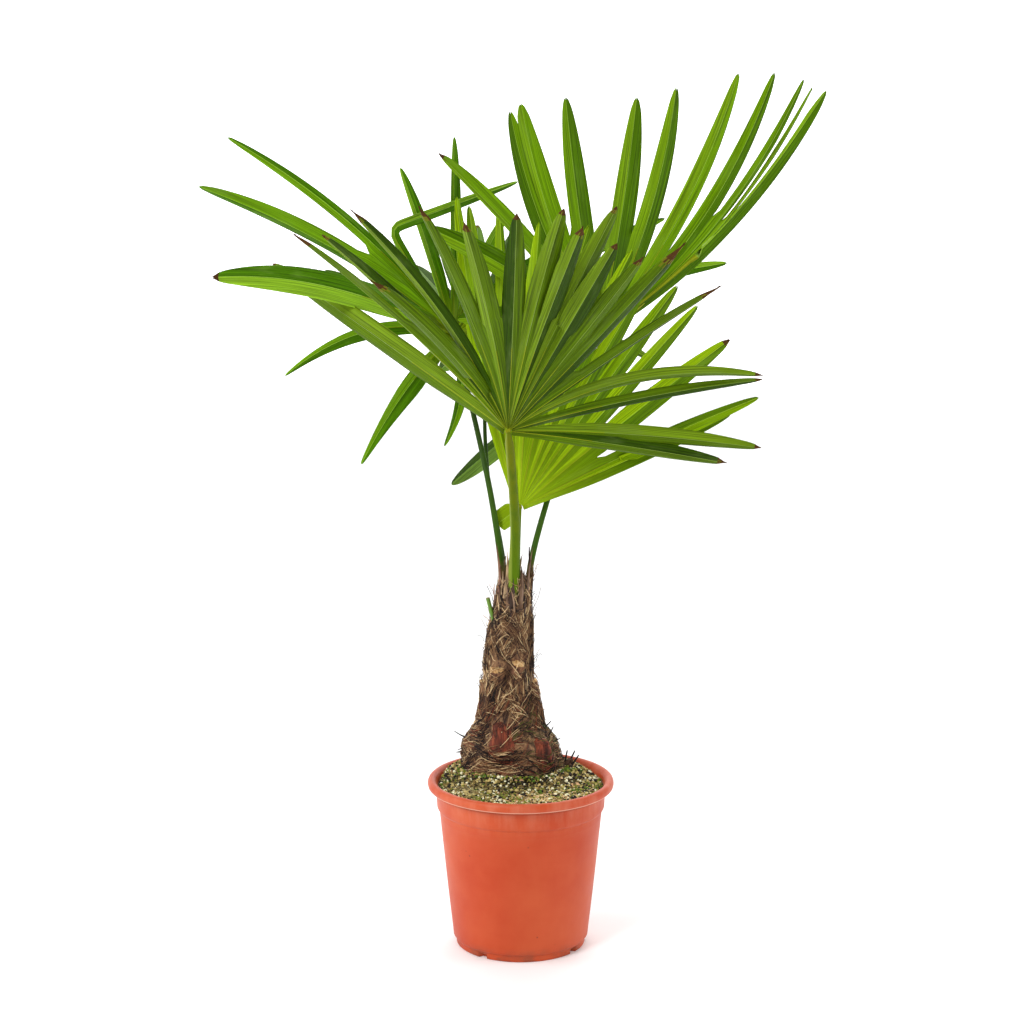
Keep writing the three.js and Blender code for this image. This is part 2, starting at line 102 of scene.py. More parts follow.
def tubeTemplate(sides, rings, pointed=False):
    # a closed tube of unit radius along z from 0 to 1, bent later by bendTube
    bm = bmesh.new()
    bmesh.ops.create_circle(bm, cap_ends=True, segments=sides, radius=1)
    bmesh.ops.reverse_faces(bm, faces=bm.faces)
    edges = bm.edges[:]
    for _ in range(rings):
        grown = bmesh.ops.extrude_edge_only(bm, edges=edges)["geom"]
        verts = [g for g in grown if isinstance(g, bmesh.types.BMVert)]
        edges = [g for g in grown if isinstance(g, bmesh.types.BMEdge)]
        bmesh.ops.translate(bm, vec=(0, 0, 1 / rings), verts=verts)
    if pointed:
        bmesh.ops.pointmerge(bm, verts=verts, merge_co=(0, 0, 1))
    else:
        bmesh.ops.contextual_create(bm, geom=edges)
    bmesh.ops.recalc_face_normals(bm, faces=bm.faces)
    return bm


def bendTube(template, path, size, side=Vector((1, 0, 0))):
    # path gives a point for each share, size a half width and half depth
    bm = template.copy()
    for vert in bm.verts:
        share = vert.co.z
        at = path(share)
        along = (path(min(1, share + 0.01)) - path(max(0, share - 0.01))).normalized()
        across = (side - along * side.dot(along)).normalized()
        out = along.cross(across)
        wide, deep = size(share)
        vert.co = at + across * (vert.co.x * wide) + out * (vert.co.y * deep)
    return bm


# Small helpers for materials

class Value:
    # a socket of a finish, so that shader maths reads as plain sums
    def __init__(self, finish, socket):
        self.finish = finish
        self.socket = socket

    def maths(self, operation, *values):
        inputs = dict(enumerate(values))
        return self.finish.node("ShaderNodeMath", {"operation": operation}, inputs)

    def __add__(self, other):
        return self.maths("ADD", self, other)

    def __radd__(self, other):
        return self.maths("ADD", other, self)

    def __sub__(self, other):
        return self.maths("SUBTRACT", self, other)

    def __rsub__(self, other):
        return self.maths("SUBTRACT", other, self)

    def __mul__(self, other):
        return self.maths("MULTIPLY", self, other)

    def __rmul__(self, other):
        return self.maths("MULTIPLY", other, self)

    def size(self):
        return self.maths("ABSOLUTE", self)

    def clamped(self):
        return self.maths("MINIMUM", self.maths("MAXIMUM", self, 0), 1)

    def above(self, level, gain):
        # rises from 0 at a level to 1
        return ((self - level) * gain).clamped()

    def below(self, level, gain):
        return ((level - self) * gain).clamped()


class Finish:
    # one material and its node tree
    def __init__(self, name, roughness, **fixed):
        self.material = bpy.data.materials.new(name)
        self.material.use_nodes = True
        self.tree = self.material.node_tree
        self.shader = self.tree.nodes["Principled BSDF"]
        self.shader.inputs["Roughness"].default_value = roughness
        for socket, value in fixed.items():
            self.shader.inputs[socket.replace("_", " ")].default_value = value

    def node(self, kind, settings=None, inputs=None, out=0):
        made = self.tree.nodes.new(kind)
        for name, value in (settings or {}).items():
            if name == "stops":
                while len(made.color_ramp.elements) < len(value):
                    made.color_ramp.elements.new(0.5)
                for element, (place, colour) in zip(made.color_ramp.elements, value):
                    element.position = place
                    element.color = (*colour, 1)
            else:
                setattr(made, name, value)
        for name, value in (inputs or {}).items():
            if isinstance(value, Value):
                self.tree.links.new(value.socket, made.inputs[name])
            elif value is not None:
                made.inputs[name].default_value = value
        return Value(self, made.outputs[out])

    def place(self, scale=(1, 1, 1), turn=(0, 0, 0), source="Object"):
        coordinates = self.node("ShaderNodeTexCoord", out=source)
        return self.node("ShaderNodeMapping", None,
                         {"Vector": coordinates, "Scale": scale, "Rotation": turn})

    def parts(self, vector):
        made = self.node("ShaderNodeSeparateXYZ", None, {"Vector": vector})
        sockets = made.socket.node.outputs
        return [Value(self, socket) for socket in sockets]

    def noise(self, scale, where=None, detail=3, roughness=0.55):
        return self.node("ShaderNodeTexNoise", None, {
            "Vector": where or self.place(), "Scale": scale, "Detail": detail,
            "Roughness": roughness})

    def speckles(self, scale):
        return self.node("ShaderNodeTexVoronoi", None,
                         {"Vector": self.place(), "Scale": scale}, "Distance")

    def ramp(self, factor, *stops):
        return self.node("ShaderNodeValToRGB", {"stops": stops}, {"Fac": factor})

    def mask(self, factor, low, high):
        # black below one value, white above another
        return self.ramp(factor, (low, (0, 0, 0)), (high, (1, 1, 1)))

    def mixed(self, factor, a, b):
        made = self.node("ShaderNodeMix", {"data_type": "RGBA"}, {"Factor": factor})
        node = made.socket.node
        # a mix node has the same names for numbers and colours, so its colour sockets go by place
        for socket, value in ((node.inputs[6], a), (node.inputs[7], b)):
            if isinstance(value, Value):
                self.tree.links.new(value.socket, socket)
            else:
                socket.default_value = (*value, 1)
        return Value(self, node.outputs[2])

    def feed(self, socket, value):
        self.tree.links.new(value.socket, self.shader.inputs[socket])

    def relief(self, height, distance, strength):
        bump = self.node("ShaderNodeBump", None, {
            "Height": height, "Distance": distance, "Strength": strength})
        self.feed("Normal", bump)


def fromScreen(red, green, blue):
    # a colour as a screen shows it, in Blender's linear numbers
    return tuple((c / 255 / 12.92) if c < 10 else ((c / 255 + 0.055) / 1.055) ** 2.4
                 for c in (red, green, blue))


def toneStops(stops):
    return [(place, fromScreen(*tone)) for place, tone in stops]


def shaded(tone, factor):
    return tuple(min(1, c * factor) for c in fromScreen(*tone))


# Stage, light and camera

studio = {
    "lens": 93.66, "sensor": 36, "cameraAt": (-0.0113, -3.3, 1.2445), "pitch": 78.45,
    "world": 0.66, "floorHalf": 4.8, "floorTone": 0.96, "wallAt": 4.7, "wallGlow": 1.05,
    "lamps": [
        # place, aim, width, watts
        ((-2.0, -2.6, 2.9), (0, 0, 0.7), 1.4, 78),
        ((-2.6, -0.2, 1.2), (0, 0, 0.5), 1.6, 26),
        ((2.6, -0.4, 1.3), (0, 0, 0.5), 1.6, 24),
        ((0.4, 2.2, 2.8), (0, 0, 0.8), 1.8, 22),
    ],
}


def setStudio():
    scene.view_settings.view_transform = "Standard"
    camera = bpy.data.objects.new("camera", bpy.data.cameras.new("camera"))
    camera.data.lens = studio["lens"]
    camera.data.sensor_width = studio["sensor"]
    camera.location = studio["cameraAt"]
    camera.rotation_euler = (math.radians(studio["pitch"]), 0, 0)
    scene.collection.objects.link(camera)
    scene.camera = camera
    for number, (place, target, width, watts) in enumerate(studio["lamps"]):
        lamp = bpy.data.lights.new(f"softbox{number}", "AREA")
        lamp.shape = "DISK"
        lamp.size = width
        lamp.energy = watts
        holder = bpy.data.objects.new(lamp.name, lamp)
        holder.location = place
        aim = Vector(target) - Vector(place)
        holder.rotation_euler = aim.to_track_quat("-Z", "Y").to_euler()
        scene.collection.objects.link(holder)
    world = bpy.data.worlds.new("studio")
    world.use_nodes = True
    world.node_tree.nodes["Background"].inputs["Color"].default_value = (1, 1, 1, 1)
    world.node_tree.nodes["Background"].inputs["Strength"].default_value = studio["world"]
    scene.world = world
    # a pale floor that runs up to a glowing white wall
    pale = Finish("floor pale", 0.9)
    pale.shader.inputs["Base Color"].default_value = (*[studio["floorTone"]] * 3, 1)
    glowing = Finish("wall white", 0.9)
    glowing.shader.inputs["Emission Color"].default_value = (1, 1, 1, 1)
    glowing.shader.inputs["Emission Strength"].default_value = studio["wallGlow"]
    half = studio["floorHalf"]
    upright = Matrix.Translation((0, studio["wallAt"], half)) @ Matrix.Rotation(math.pi / 2, 4, "X")
    for name, finish, place in (("floor", pale, Matrix()), ("wall", glowing, upright)):
        bm = bmesh.new()
        bmesh.ops.create_grid(bm, x_segments=1, y_segments=1, size=half)
        bmesh.ops.transform(bm, matrix=place, verts=bm.verts)
        mesh = bpy.data.meshes.new(name)
        bm.to_mesh(mesh)
        bm.free()
        mesh.materials.append(finish.material)
        sheet = bpy.data.objects.new(name, mesh)
        scene.collection.objects.link(sheet)
    print("studio set,", len(studio["lamps"]), "lamps")


# Pot

pot = {
    "turns": 240,
    # radius and height from the middle of the underside round to the middle of the inside
    "profile": [
        (0, 0.6), (70, 0.6), (76, 0), (82, 0), (83, 0.5), (83.5, 1.5), (83.5, 4.6), (83.5, 8),
        (83.9, 9.2), (86.5, 10.6), (87.4, 12), (88.2, 20), (93, 62), (98, 110), (103, 160),
        (105, 180.2), (105.6, 181.2), (107.4, 183), (108, 184.4), (108.3, 190), (109.3, 206.5),
        (109.9, 207.6), (110.6, 208.2), (115.5, 208.6), (117.8, 209.3), (119.3, 211), (120, 214),
        (119.8, 216.5), (118.9, 218.9), (117.2, 220.4), (115, 221), (112.6, 220.6),
        (110.6, 219), (108.6, 216.4), (107.4, 213), (106.4, 200), (105.6, 184), (85.6, 13),
        (84, 8), (80, 4.8), (0, 4.8),
    ],
    "notches": [-35.5, 54.5, 144.5, 234.5],
    "notchWidth": 12, "notchHeight": 5, "notchDepth": 7, "notchFrom": 81.5, "notchTop": 4.7,
    # heights in metres, as the material reads them
    "dustZ": 0.165, "lipZ": 0.2098, "underLipShadeZ": 0.2056, "footZ": 0.02,
    # the lip tone is a painted highlight and the corner tone is painted shade under the rim
    "tones": {"new": (178, 60, 20), "worn": (192, 82, 42), "dust": (226, 165, 135),
              "lip": (236, 190, 164), "corner": (134, 50, 24), "foot": (120, 66, 44),
              "specks": (110, 52, 30)},
}


def potFinish():
    plastic = Finish("terracotta plastic", 0.4, Specular_IOR_Level=0.28)
    tones = {name: fromScreen(*tone) for name, tone in pot["tones"].items()}
    cloud = plastic.noise(9, detail=4)
    colour = plastic.mixed(plastic.mask(cloud, 0.35, 0.7), tones["new"], tones["worn"])
    # dust that hangs under the lip and round the collar, in thin runs
    z = plastic.parts(plastic.place())[2]
    runs = plastic.noise(60, plastic.place((1, 1, 0.25)), 5, 0.6)
    dust = runs.above(0.42, 4) * z.above(pot["dustZ"], 26) * 0.16
    colour = plastic.mixed(dust, colour, tones["dust"])
    # a painted highlight: a pale line along the lip's lower edge, and painted shade in the corner
    # beneath it
    lip = (1 - (z - pot["lipZ"]).size() * 700).clamped() * 0.7
    colour = plastic.mixed(lip, colour, tones["lip"])
    # painted shade: a darker band in the corner under the lip
    corner = (1 - (z - pot["underLipShadeZ"]).size() * 380).clamped() * 0.5
    colour = plastic.mixed(corner, colour, tones["corner"])
    foot = z.below(pot["footZ"], 60) * plastic.noise(45).above(0.42, 5) * 0.6
    colour = plastic.mixed(foot, colour, tones["foot"])
    specks = plastic.speckles(46).below(0.07, 60) * plastic.noise(13).above(0.56, 14)
    colour = plastic.mixed(specks * 0.7, colour, tones["specks"])
    plastic.feed("Base Color", colour)
    plastic.feed("Roughness", 0.36 + 0.22 * plastic.noise(30) + 0.2 * dust)
    grain = plastic.noise(420, detail=2) * 0.4 + plastic.noise(35, plastic.place((1, 1, 0.15)))
    plastic.relief(grain, 0.0006, 0.35)
    return plastic.material


def makePot():
    bm = bmesh.new()
    for radius, height in pot["profile"]:
        bmesh.ops.create_vert(bm, co=(radius, 0, height))
    bm.verts.ensure_lookup_table()
    edges = [bm.edges.new(pair) for pair in zip(bm.verts, bm.verts[1:])]
    bmesh.ops.spin(bm, geom=bm.verts[:] + edges, cent=(0, 0, 0), axis=(0, 0, 1),
                   angle=2 * math.pi, steps=pot["turns"], use_merge=True)
    bmesh.ops.remove_doubles(bm, verts=bm.verts, dist=0.01)
    bmesh.ops.recalc_face_normals(bm, faces=bm.faces)
    # drainage notches: the foot's wall is pushed in, and its floor raised to an arch
    for vert in bm.verts:
        radius = math.hypot(vert.co.x, vert.co.y)
        turn = math.degrees(math.atan2(vert.co.x, -vert.co.y))
        for notch in pot["notches"]:
            away = abs((turn - notch + 180) % 360 - 180) * math.pi / 180 * radius
            arch = pot["notchHeight"] * math.sqrt(max(0, 1 - (away / pot["notchWidth"] * 2) ** 2))
            if radius > pot["notchFrom"] and vert.co.z <= pot["notchTop"] and arch > 2:
                inner = (radius - pot["notchDepth"]) / radius
                vert.co.x *= inner
                vert.co.y *= inner
                if vert.co.z > 4:
                    vert.co.z = arch
    finishPiece(bm, "potShell", [potFinish()], ["pot"])


# Trunk shape, as in the source

trunk = {
    "topZ": 482, "baseX": -8, "baseY": 38, "leanX": 1, "leanY": -26, "sway": 8.5,
    "taper": [(0, 67), (0.13, 59), (0.2, 48), (0.27, 40), (0.36, 35), (0.56, 31), (0.74, 28),
              (0.86, 23), (1, 20)],
    "depth": 0.78, "lumps": (0.05, 0.035),
    "sides": 176, "rings": 190, "fibreDepth": 1.6, "steps": 9, "stepDepth": 1.6,
    "tones": [(0.34, (28, 17, 12)), (0.46, (82, 55, 38)), (0.56, (138, 102, 70)),
              (0.68, (196, 160, 114))],
    "rust": (118, 62, 40), "moss": (72, 84, 26),
}
soil = {
    "edgeZ": 211, "topZ": 225, "spread": 34, "flat": 4, "radius": 106.4,
    "sides": 120, "skirt": [(105.2, 184), (85, 13)],  # radius and height
    "tones": [(0.38, (42, 34, 16)), (0.5, (116, 100, 54)), (0.62, (190, 172, 116))],
    "moss": (70, 92, 30),
}
trunkFootZ = soil["topZ"] + clear


def trunkPoint(share, angle, grow=0):
    swing = math.sin(math.pi * max(0, share) ** 0.8) if share < 1 else 0
    slow, quick = trunk["lumps"]
    lumps = slow * math.sin(3 * angle + 9 * share) + quick * math.sin(5 * angle - 17 * share)
    radius = readRun(trunk["taper"], share) * (1 + lumps * (1 - 0.6 * share)) + grow
    deep = trunk["depth"] + (1 - trunk["depth"]) * smoothStep(share * 2.2)
    return Vector((
        trunk["baseX"] + trunk["leanX"] * share - trunk["sway"] * swing
        + radius * math.sin(angle),
        trunk["baseY"] + trunk["leanY"] * share - radius * deep * math.cos(angle),
        trunkFootZ + (trunk["topZ"] - trunkFootZ) * share,
    ))


def trunkShare(z):
    return (z - trunkFootZ) / (trunk["topZ"] - trunkFootZ)


def trunkRadius(z):
    return readRun(trunk["taper"], trunkShare(z))


def trunkAt(z, angle, grow=0):
    return trunkPoint(trunkShare(z), angle, grow)


def soilHeight(x, y):
    foot = trunk["taper"][0][1]
    dx = (x - trunk["baseX"]) / (foot + soil["flat"])
    dy = (y - trunk["baseY"]) / (foot * trunk["depth"] + soil["flat"])
    beyond = (math.hypot(dx, dy) - 1) * foot
    return soil["topZ"] - (soil["topZ"] - soil["edgeZ"]) * smoothStep(beyond / soil["spread"])


def barkFinish():
    bark = Finish("matted bark", 0.9)
    x, _, z = bark.parts(bark.place())
    # two sets of fibres that cross, wound round the trunk
    slant = [bark.noise(150, bark.place((1, 1, 0.22), (0, turn, 0)), 4, 0.65)
             for turn in (0.75, -0.75)]
    matted = slant[0] * 0.5 + slant[1] * 0.5
    colour = bark.ramp(matted, *toneStops(trunk["tones"]))
    rust = bark.noise(22, detail=2).above(0.54, 9) * z.below(0.40, 9)
    colour = bark.mixed(rust * 0.6, colour, fromScreen(*trunk["rust"]))
    # moss low down on the right
    low = z.below(0.31, 12) * ((x + 0.005) * 22).clamped()
    moss = bark.noise(40, detail=4).above(0.45, 8) * low
    colour = bark.mixed(moss * 0.7, colour, fromScreen(*trunk["moss"]))
    bark.feed("Base Color", colour)
    bark.relief(matted, 0.004, 0.9)
    return bark.material


def makeTrunk():
    bm = tubeTemplate(trunk["sides"], trunk["rings"])
    for vert in bm.verts:
        share, angle = vert.co.z, math.atan2(vert.co.x, -vert.co.y)
        around = Vector((math.sin(angle) * 3, math.cos(angle) * 3, share * 14))
        rough = noise.noise(around * 2.2) * 0.6
        cross = noise.noise(Vector((angle * 9 + share * 46, share * 9, 3)))
        cross += noise.noise(Vector((angle * 9 - share * 46, share * 9, 11)))
        # each old leaf sheath ends in a ragged step
        step = (share * trunk["steps"] + 0.35 * math.sin(angle * 2 + 5 * share)
                + noise.noise(around) * 0.5) % 1
        grow = trunk["fibreDepth"] * (rough + cross * 0.5) - trunk["stepDepth"] * (1 - step) ** 3
        vert.co = trunkPoint(share, angle, grow)
    finishPiece(bm, "trunkBark", [barkFinish()], ["trunk"])


# Old leaf bases

leafBases = {
    "seed": 5, "sides": 30, "rings": 20,
    "stand": 5, "sunk": 2.5, "ragged": 3.5, "cutSlope": 9,
    # darker and lighter tone of the three finishes, and of the stains on them
    "dry": ((106, 70, 50), (168, 122, 86)), "reddish": ((92, 40, 26), (150, 74, 48)),
    "cut": ((206, 156, 98), (240, 208, 152)), "stain": (58, 40, 30),
    # turn, height, width, rise, lean and whether it is reddish
    "bases": [
        (-28, 372, 36, 62, 7, 0), (22, 380, 32, 56, 6, 0), (-84, 352, 34, 60, 2, 0),
        (82, 352, 34, 62, 2, 0), (-12, 300, 42, 56, 8, 1), (46, 276, 42, 44, 9, 1),
        (150, 366, 36, 62, 7, 0), (-150, 384, 34, 60, 6, 0), (178, 296, 44, 56, 8, 1),
    ],
}


def scaleFinish(name, dark, light):
    # a dry leaf base or sheath with lengthwise grain
    scale = Finish(name, 0.85, Specular_IOR_Level=0.3)
    grain = scale.noise(210, scale.place((1, 1, 0.1)), 4, 0.65)
    blotch = scale.noise(50, detail=3)
    colour = scale.ramp(grain, (0.34, shaded(dark, 0.35)), (0.48, fromScreen(*dark)),
                        (0.64, fromScreen(*light)))
    colour = scale.mixed(blotch.above(0.5, 5) * 0.6, colour, fromScreen(*leafBases["stain"]))
    scale.feed("Base Color", colour)
    scale.relief(grain, 0.003, 0.8)
    return scale.material


def baseHalf(width, t):
    # a leaf base's half width at a share of its rise
    return width / 2 * (1 - 0.5 * smoothStep(t))


def turnedFrom(turn, angle):
    # how far round an angle lies from a turn in degrees
    return (angle - math.radians(turn) + math.pi) % (2 * math.pi) - math.pi


def barkStand(z, angle):
    # how far an old leaf base lifts the surface off the trunk there
    stand = 0
    for turn, height, width, rise, lean, _ in leafBases["bases"]:
        t = 1 - (height - z) / rise
        if 0 <= t <= 1:
            u = turnedFrom(turn, angle) * trunkRadius(z) / baseHalf(width, t)
            if abs(u) < 1:
                stand = max(stand, (leafBases["stand"] + lean * t) * (1 - u * u) ** 0.4
                            - leafBases["sunk"])
    return stand


def onCut(z, angle):
    # whether a place lies on the cut end of an old leaf base, or on a reddish one
    for turn, height, width, rise, _, red in leafBases["bases"]:
        reach = turnedFrom(turn, angle) * trunkRadius(z)
        if abs(reach) < width * 0.3 and height - (rise * 0.7 if red else 12) < z < height + 5:
            return True
    return False


def makeLeafBases():
    rng = random.Random(leafBases["seed"])
    bm = bmesh.new()
    scale = tubeTemplate(leafBases["sides"], leafBases["rings"])
    for turn, height, width, rise, lean, red in leafBases["bases"]:
        angle = math.radians(turn)
        seed = rng.uniform(0, 50)
        part = scale.copy()
        for vert in part.verts:
            x, y, t = vert.co
            ragged = leafBases["ragged"] * noise.noise(Vector((x * 4, seed, y))) - 4 * x * x
            z = height - rise * (1 - t) + smoothStep(2 * t - 1) * ragged
            z -= leafBases["cutSlope"] * max(0, y) * smoothStep(4 * t - 3)
            grow = (leafBases["stand"] + lean * t) * max(0, y) ** 0.8 - leafBases["sunk"]
            grow += min(0, y) * 1.2
            grow += 0.9 * noise.noise(Vector((x * 5, z * 0.06, seed))) * (y > 0)
            vert.co = trunkAt(z, angle + x * baseHalf(width, t) / trunkRadius(z), grow)
        caps = [face for face in part.faces if len(face.verts) > 4]
        upper = max(caps, key=lambda face: face.calc_center_median().z)
        for face in part.faces:
            face.material_index = red
        for face in bmesh.ops.poke(part, faces=[upper])["faces"]:
            face.material_index = 1 if red else 2
        pour(bm, part)
    scale.free()
    nodes = [f"leaf_base_{number}" for number in range(1, 10)]
    finishes = [scaleFinish("dry leaf base", *leafBases["dry"]),
                scaleFinish("reddish leaf base", *leafBases["reddish"]),
                scaleFinish("pale cut end", *leafBases["cut"])]
    finishPiece(bm, "leafBases", finishes, nodes)


# Ragged sheaths on the shoulder

sheaths = {
    "seed": 7, "count": 34, "width": (3, 8), "rise": (26, 66), "start": (432, 470),
    "inward": (-0.02, 0.14), "curl": 0.5, "twist": 0.45, "flare": (0, 5), "thick": 0.5,
    "tints": [(52, 36, 28), (96, 70, 50), (128, 98, 72), (156, 128, 94), (116, 78, 60)],
    "often": (10, 30, 34, 12, 14), "paler": 44,
}


def makeSheaths():
    rng = random.Random(sheaths["seed"])
    bm = bmesh.new()
    strip = bmesh.new()
    bmesh.ops.create_grid(strip, x_segments=4, y_segments=12, size=0.5)
    for number in range(sheaths["count"]):
        angle = number * 2.399 + rng.uniform(-0.2, 0.2)
        width = rng.uniform(*sheaths["width"])
        rise = rng.uniform(*sheaths["rise"])
        start = rng.uniform(*sheaths["start"])
        inward = rng.uniform(*sheaths["inward"])
        curl = rng.gauss(0, sheaths["curl"])
        twist = rng.gauss(0, sheaths["twist"])
        flare = rng.uniform(*sheaths["flare"])
        part = strip.copy()
        for vert in part.verts:
            t, side = vert.co.y + 0.5, vert.co.x * 2
            z = start + rise * t
            edge = trunkAt(min(z, trunk["topZ"]), angle, 1.2)
            axis = trunkAt(min(z, trunk["topZ"]), angle, -trunk["taper"][-1][1])
            above = max(0, z - trunk["topZ"] + 14)
            inner = (axis - edge).normalized()
            at = edge + inner * (above * inward) - inner * flare * t ** 2
            at.z = z
            half = width / 2 * (1 - t ** 2.2 * 0.92)
            ragged = 1 + 0.25 * noise.noise(Vector((t * 9, side * 2, number * 3.1)))
            swing = angle + curl * t ** 2 * 0.8
            across = Vector((math.cos(swing + twist * t), math.sin(swing + twist * t), 0))
            cup = Vector((math.sin(angle), -math.cos(angle), 0)) * (width * 0.16 * (1 - side ** 2))
            shift = Vector((math.cos(angle), math.sin(angle), 0)) * (curl * 9 * t ** 2)
            vert.co = at + across * (side * half * ragged) + cup + shift
        bmesh.ops.solidify(part, geom=part.faces[:], thickness=sheaths["thick"])
        pour(bm, part, rng.choices(range(5), sheaths["often"])[0])
    strip.free()
    finishes = [scaleFinish(f"sheath {n}", tint, tuple(c + sheaths["paler"] for c in tint))
                for n, tint in enumerate(sheaths["tints"])]
    finishPiece(bm, "shoulderSheaths", finishes, ["sheath_1", "sheath_2", "sheath_3"])


# Fibres, hairs and spikes on the trunk

fibres = {
    "seed": 41, "count": 6400, "length": (9, 42), "width": (0.2, 0.75),
    "tints": [(28, 17, 13), (84, 57, 40), (152, 114, 78), (222, 190, 142), (132, 62, 40),
              (88, 94, 30)],
    "curls": 120, "curlLength": (12, 42), "curlThick": (0.32, 0.52),
    "curlTints": (40, 30, 20, 8, 3),
    # long pale strands: height and turn of each end, bow and width
    "bands": [(330, -15, 353, 24, -5, 0.75), (306, -54, 304, -20, 2, 0.55),
              (266, -12, 289, 20, 5, 0.6), (364, 12, 366, 32, 15, 0.6),
              (250, -40, 244, -8, -3, 0.5), (398, -30, 372, 8, -3, 0.4),
              (322, 150, 344, 196, -5, 0.7), (280, -130, 300, -96, 4, 0.6)],
    # woven mats: turn, height of the upper edge, half width, height, strands each way
    "mats": [(-8, 356, 30, 32, 20), (14, 430, 22, 30, 16), (150, 352, 32, 30, 18),
             (-150, 414, 24, 30, 15), (92, 418, 24, 32, 15), (-92, 424, 24, 32, 15),
             (70, 322, 34, 28, 18), (-70, 318, 36, 28, 18), (182, 306, 38, 28, 18)],
    # stiff dark spikes: turn, height, length, rise in degrees, distance from the bark, thickness
    "spikes": [(-96, 262, 18, 22, -2, 1.5), (-88, 252, 12, -30, -2, 1.3),
               (86, 278, 13, 40, -2, 1.5), (80, 268, 14, 58, -1, 1.6),
               (92, 258, 10, 20, -2, 1.4), (94, 219, 24, 76, -2, 2.4),
               (88, 220, 17, 52, -4, 5.4), (96, 218, 26, 58, 1, 2.4), (84, 220, 13, 30, -3, 5.8),
               (90, 218, 24, 50, 3, 2.4), (92, 219, 14, 66, 4, 4.6), (100, 219, 12, 20, -2, 4.8),
               (160, 262, 13, 40, -1, 1.5), (-140, 266, 12, 50, -1, 1.4), (-94, 244, 9, -20, 0, 1.5),
               (100, 458, 9, 30, -2, 0.8), (84, 474, 11, 42, -2, 0.8), (120, 466, 8, 20, -2, 0.8),
               (-60, 470, 8, 35, -2, 0.8)],
}


def fibreFinish(name, tint):
    strand = Finish(name, 0.75, Specular_IOR_Level=0.3)
    streak = strand.noise(300, detail=2)
    strand.feed("Base Color", strand.mixed(streak, shaded(tint, 0.6), shaded(tint, 1.35)))
    return strand.material


def layStrand(bm, template, start, end, bow, lift, wide, tint):
    # a fibre that lies on the bark from one height and turn to another
    (z0, turn0), (z1, turn1) = start, end
    middle = (turn0 + turn1) / 2

    def path(t):
        swing = math.sin(math.pi * t)
        z = z0 + (z1 - z0) * t + bow * swing
        z = max(trunkFootZ + 0.8, min(trunk["topZ"] + 5, z))
        turn = turn0 + (turn1 - turn0) * t
        return trunkAt(z, turn, barkStand(z, turn) + lift * (0.3 + 0.7 * swing) - 0.1)

    side = Vector((math.sin(middle), -math.cos(middle), 0))
    part = bendTube(template, path, lambda t: (wide * 0.5, wide * (1.1 - 0.5 * t)), side)
    pour(bm, part, tint)


def makeFibres(materials):
    rng = random.Random(fibres["seed"])
    bm = bmesh.new()
    strand = tubeTemplate(3, 4, pointed=True)
    height = trunk["topZ"] - trunkFootZ
    for _ in range(fibres["count"]):
        share = rng.random() ** 1.15
        angle = rng.uniform(-math.pi, math.pi)
        z = trunkFootZ + share * height
        length = rng.uniform(*fibres["length"]) * (1 - 0.4 * share)
        # neighbours run much the same way: round the foot, and crossed higher up
        flow = Vector((math.sin(angle) * 1.4, math.cos(angle) * 1.4, z * 0.03))
        steep = 0.2 + 0.9 * smoothStep((share - 0.12) / 0.3) + 0.9 * noise.noise(flow)
        steep += rng.gauss(0, 0.22)
        turned = 1 if noise.noise(flow * 1.3 + Vector((7, 0, 0))) + rng.gauss(0, 0.12) > 0 else -1
        radius = readRun(trunk["taper"], share)
        rise = length / 2 * math.sin(steep)
        around = turned * length / 2 * math.cos(steep) / radius
        mossy = smoothStep((330 - z) / 60) * smoothStep((math.sin(angle) - 0.2) * 3)
        # darker and paler patches
        patch = noise.noise(flow * 2.4) * 1.6
        weights = (max(4, 26 + 10 * (share < 0.25) - 60 * patch), 26, max(4, 26 + 40 * patch),
                   max(1, 12 + 8 * share + 30 * patch), 8 * (share < 0.4), 26 * mossy)
        ends = [(z + part * rise, angle + part * around) for part in (-0.8, 0, 0.8)]
        if any(onCut(*end) for end in ends) and rng.random() < 0.85:
            continue
        layStrand(bm, strand, (z - rise, angle - around), (z + rise, angle + around),
                  rng.uniform(-5, 5), rng.uniform(0.4, 2.6), rng.uniform(*fibres["width"]),
                  rng.choices(range(6), weights)[0])
    for turn, top, half, tall, count in fibres["mats"]:
        middle = math.radians(turn)
        radius = trunkRadius(top)

        def onMat(u, drop):
            return top - drop, middle + u * half / radius

        for number in range(count):
            u = -1 + 2 * (number + rng.uniform(-0.3, 0.3)) / count
            for way in (-1, 1):
                drop = tall * (1 - u) / 2
                layStrand(bm, strand, onMat(way * u, rng.uniform(-3, 2)),
                          onMat(way * (1 + u) / 2, drop + rng.uniform(-1, 3)), 0,
                          rng.uniform(1.2, 2), rng.uniform(0.2, 0.42), rng.choice((2, 2, 1, 1)))
    for z0, turn0, z1, turn1, bow, wide in fibres["bands"]:
        layStrand(bm, strand, (z0, math.radians(turn0)), (z1, math.radians(turn1)), bow, 2.6, wide, 3)
    strand.free()
    finishPiece(bm, "trunkFibres", materials, [])


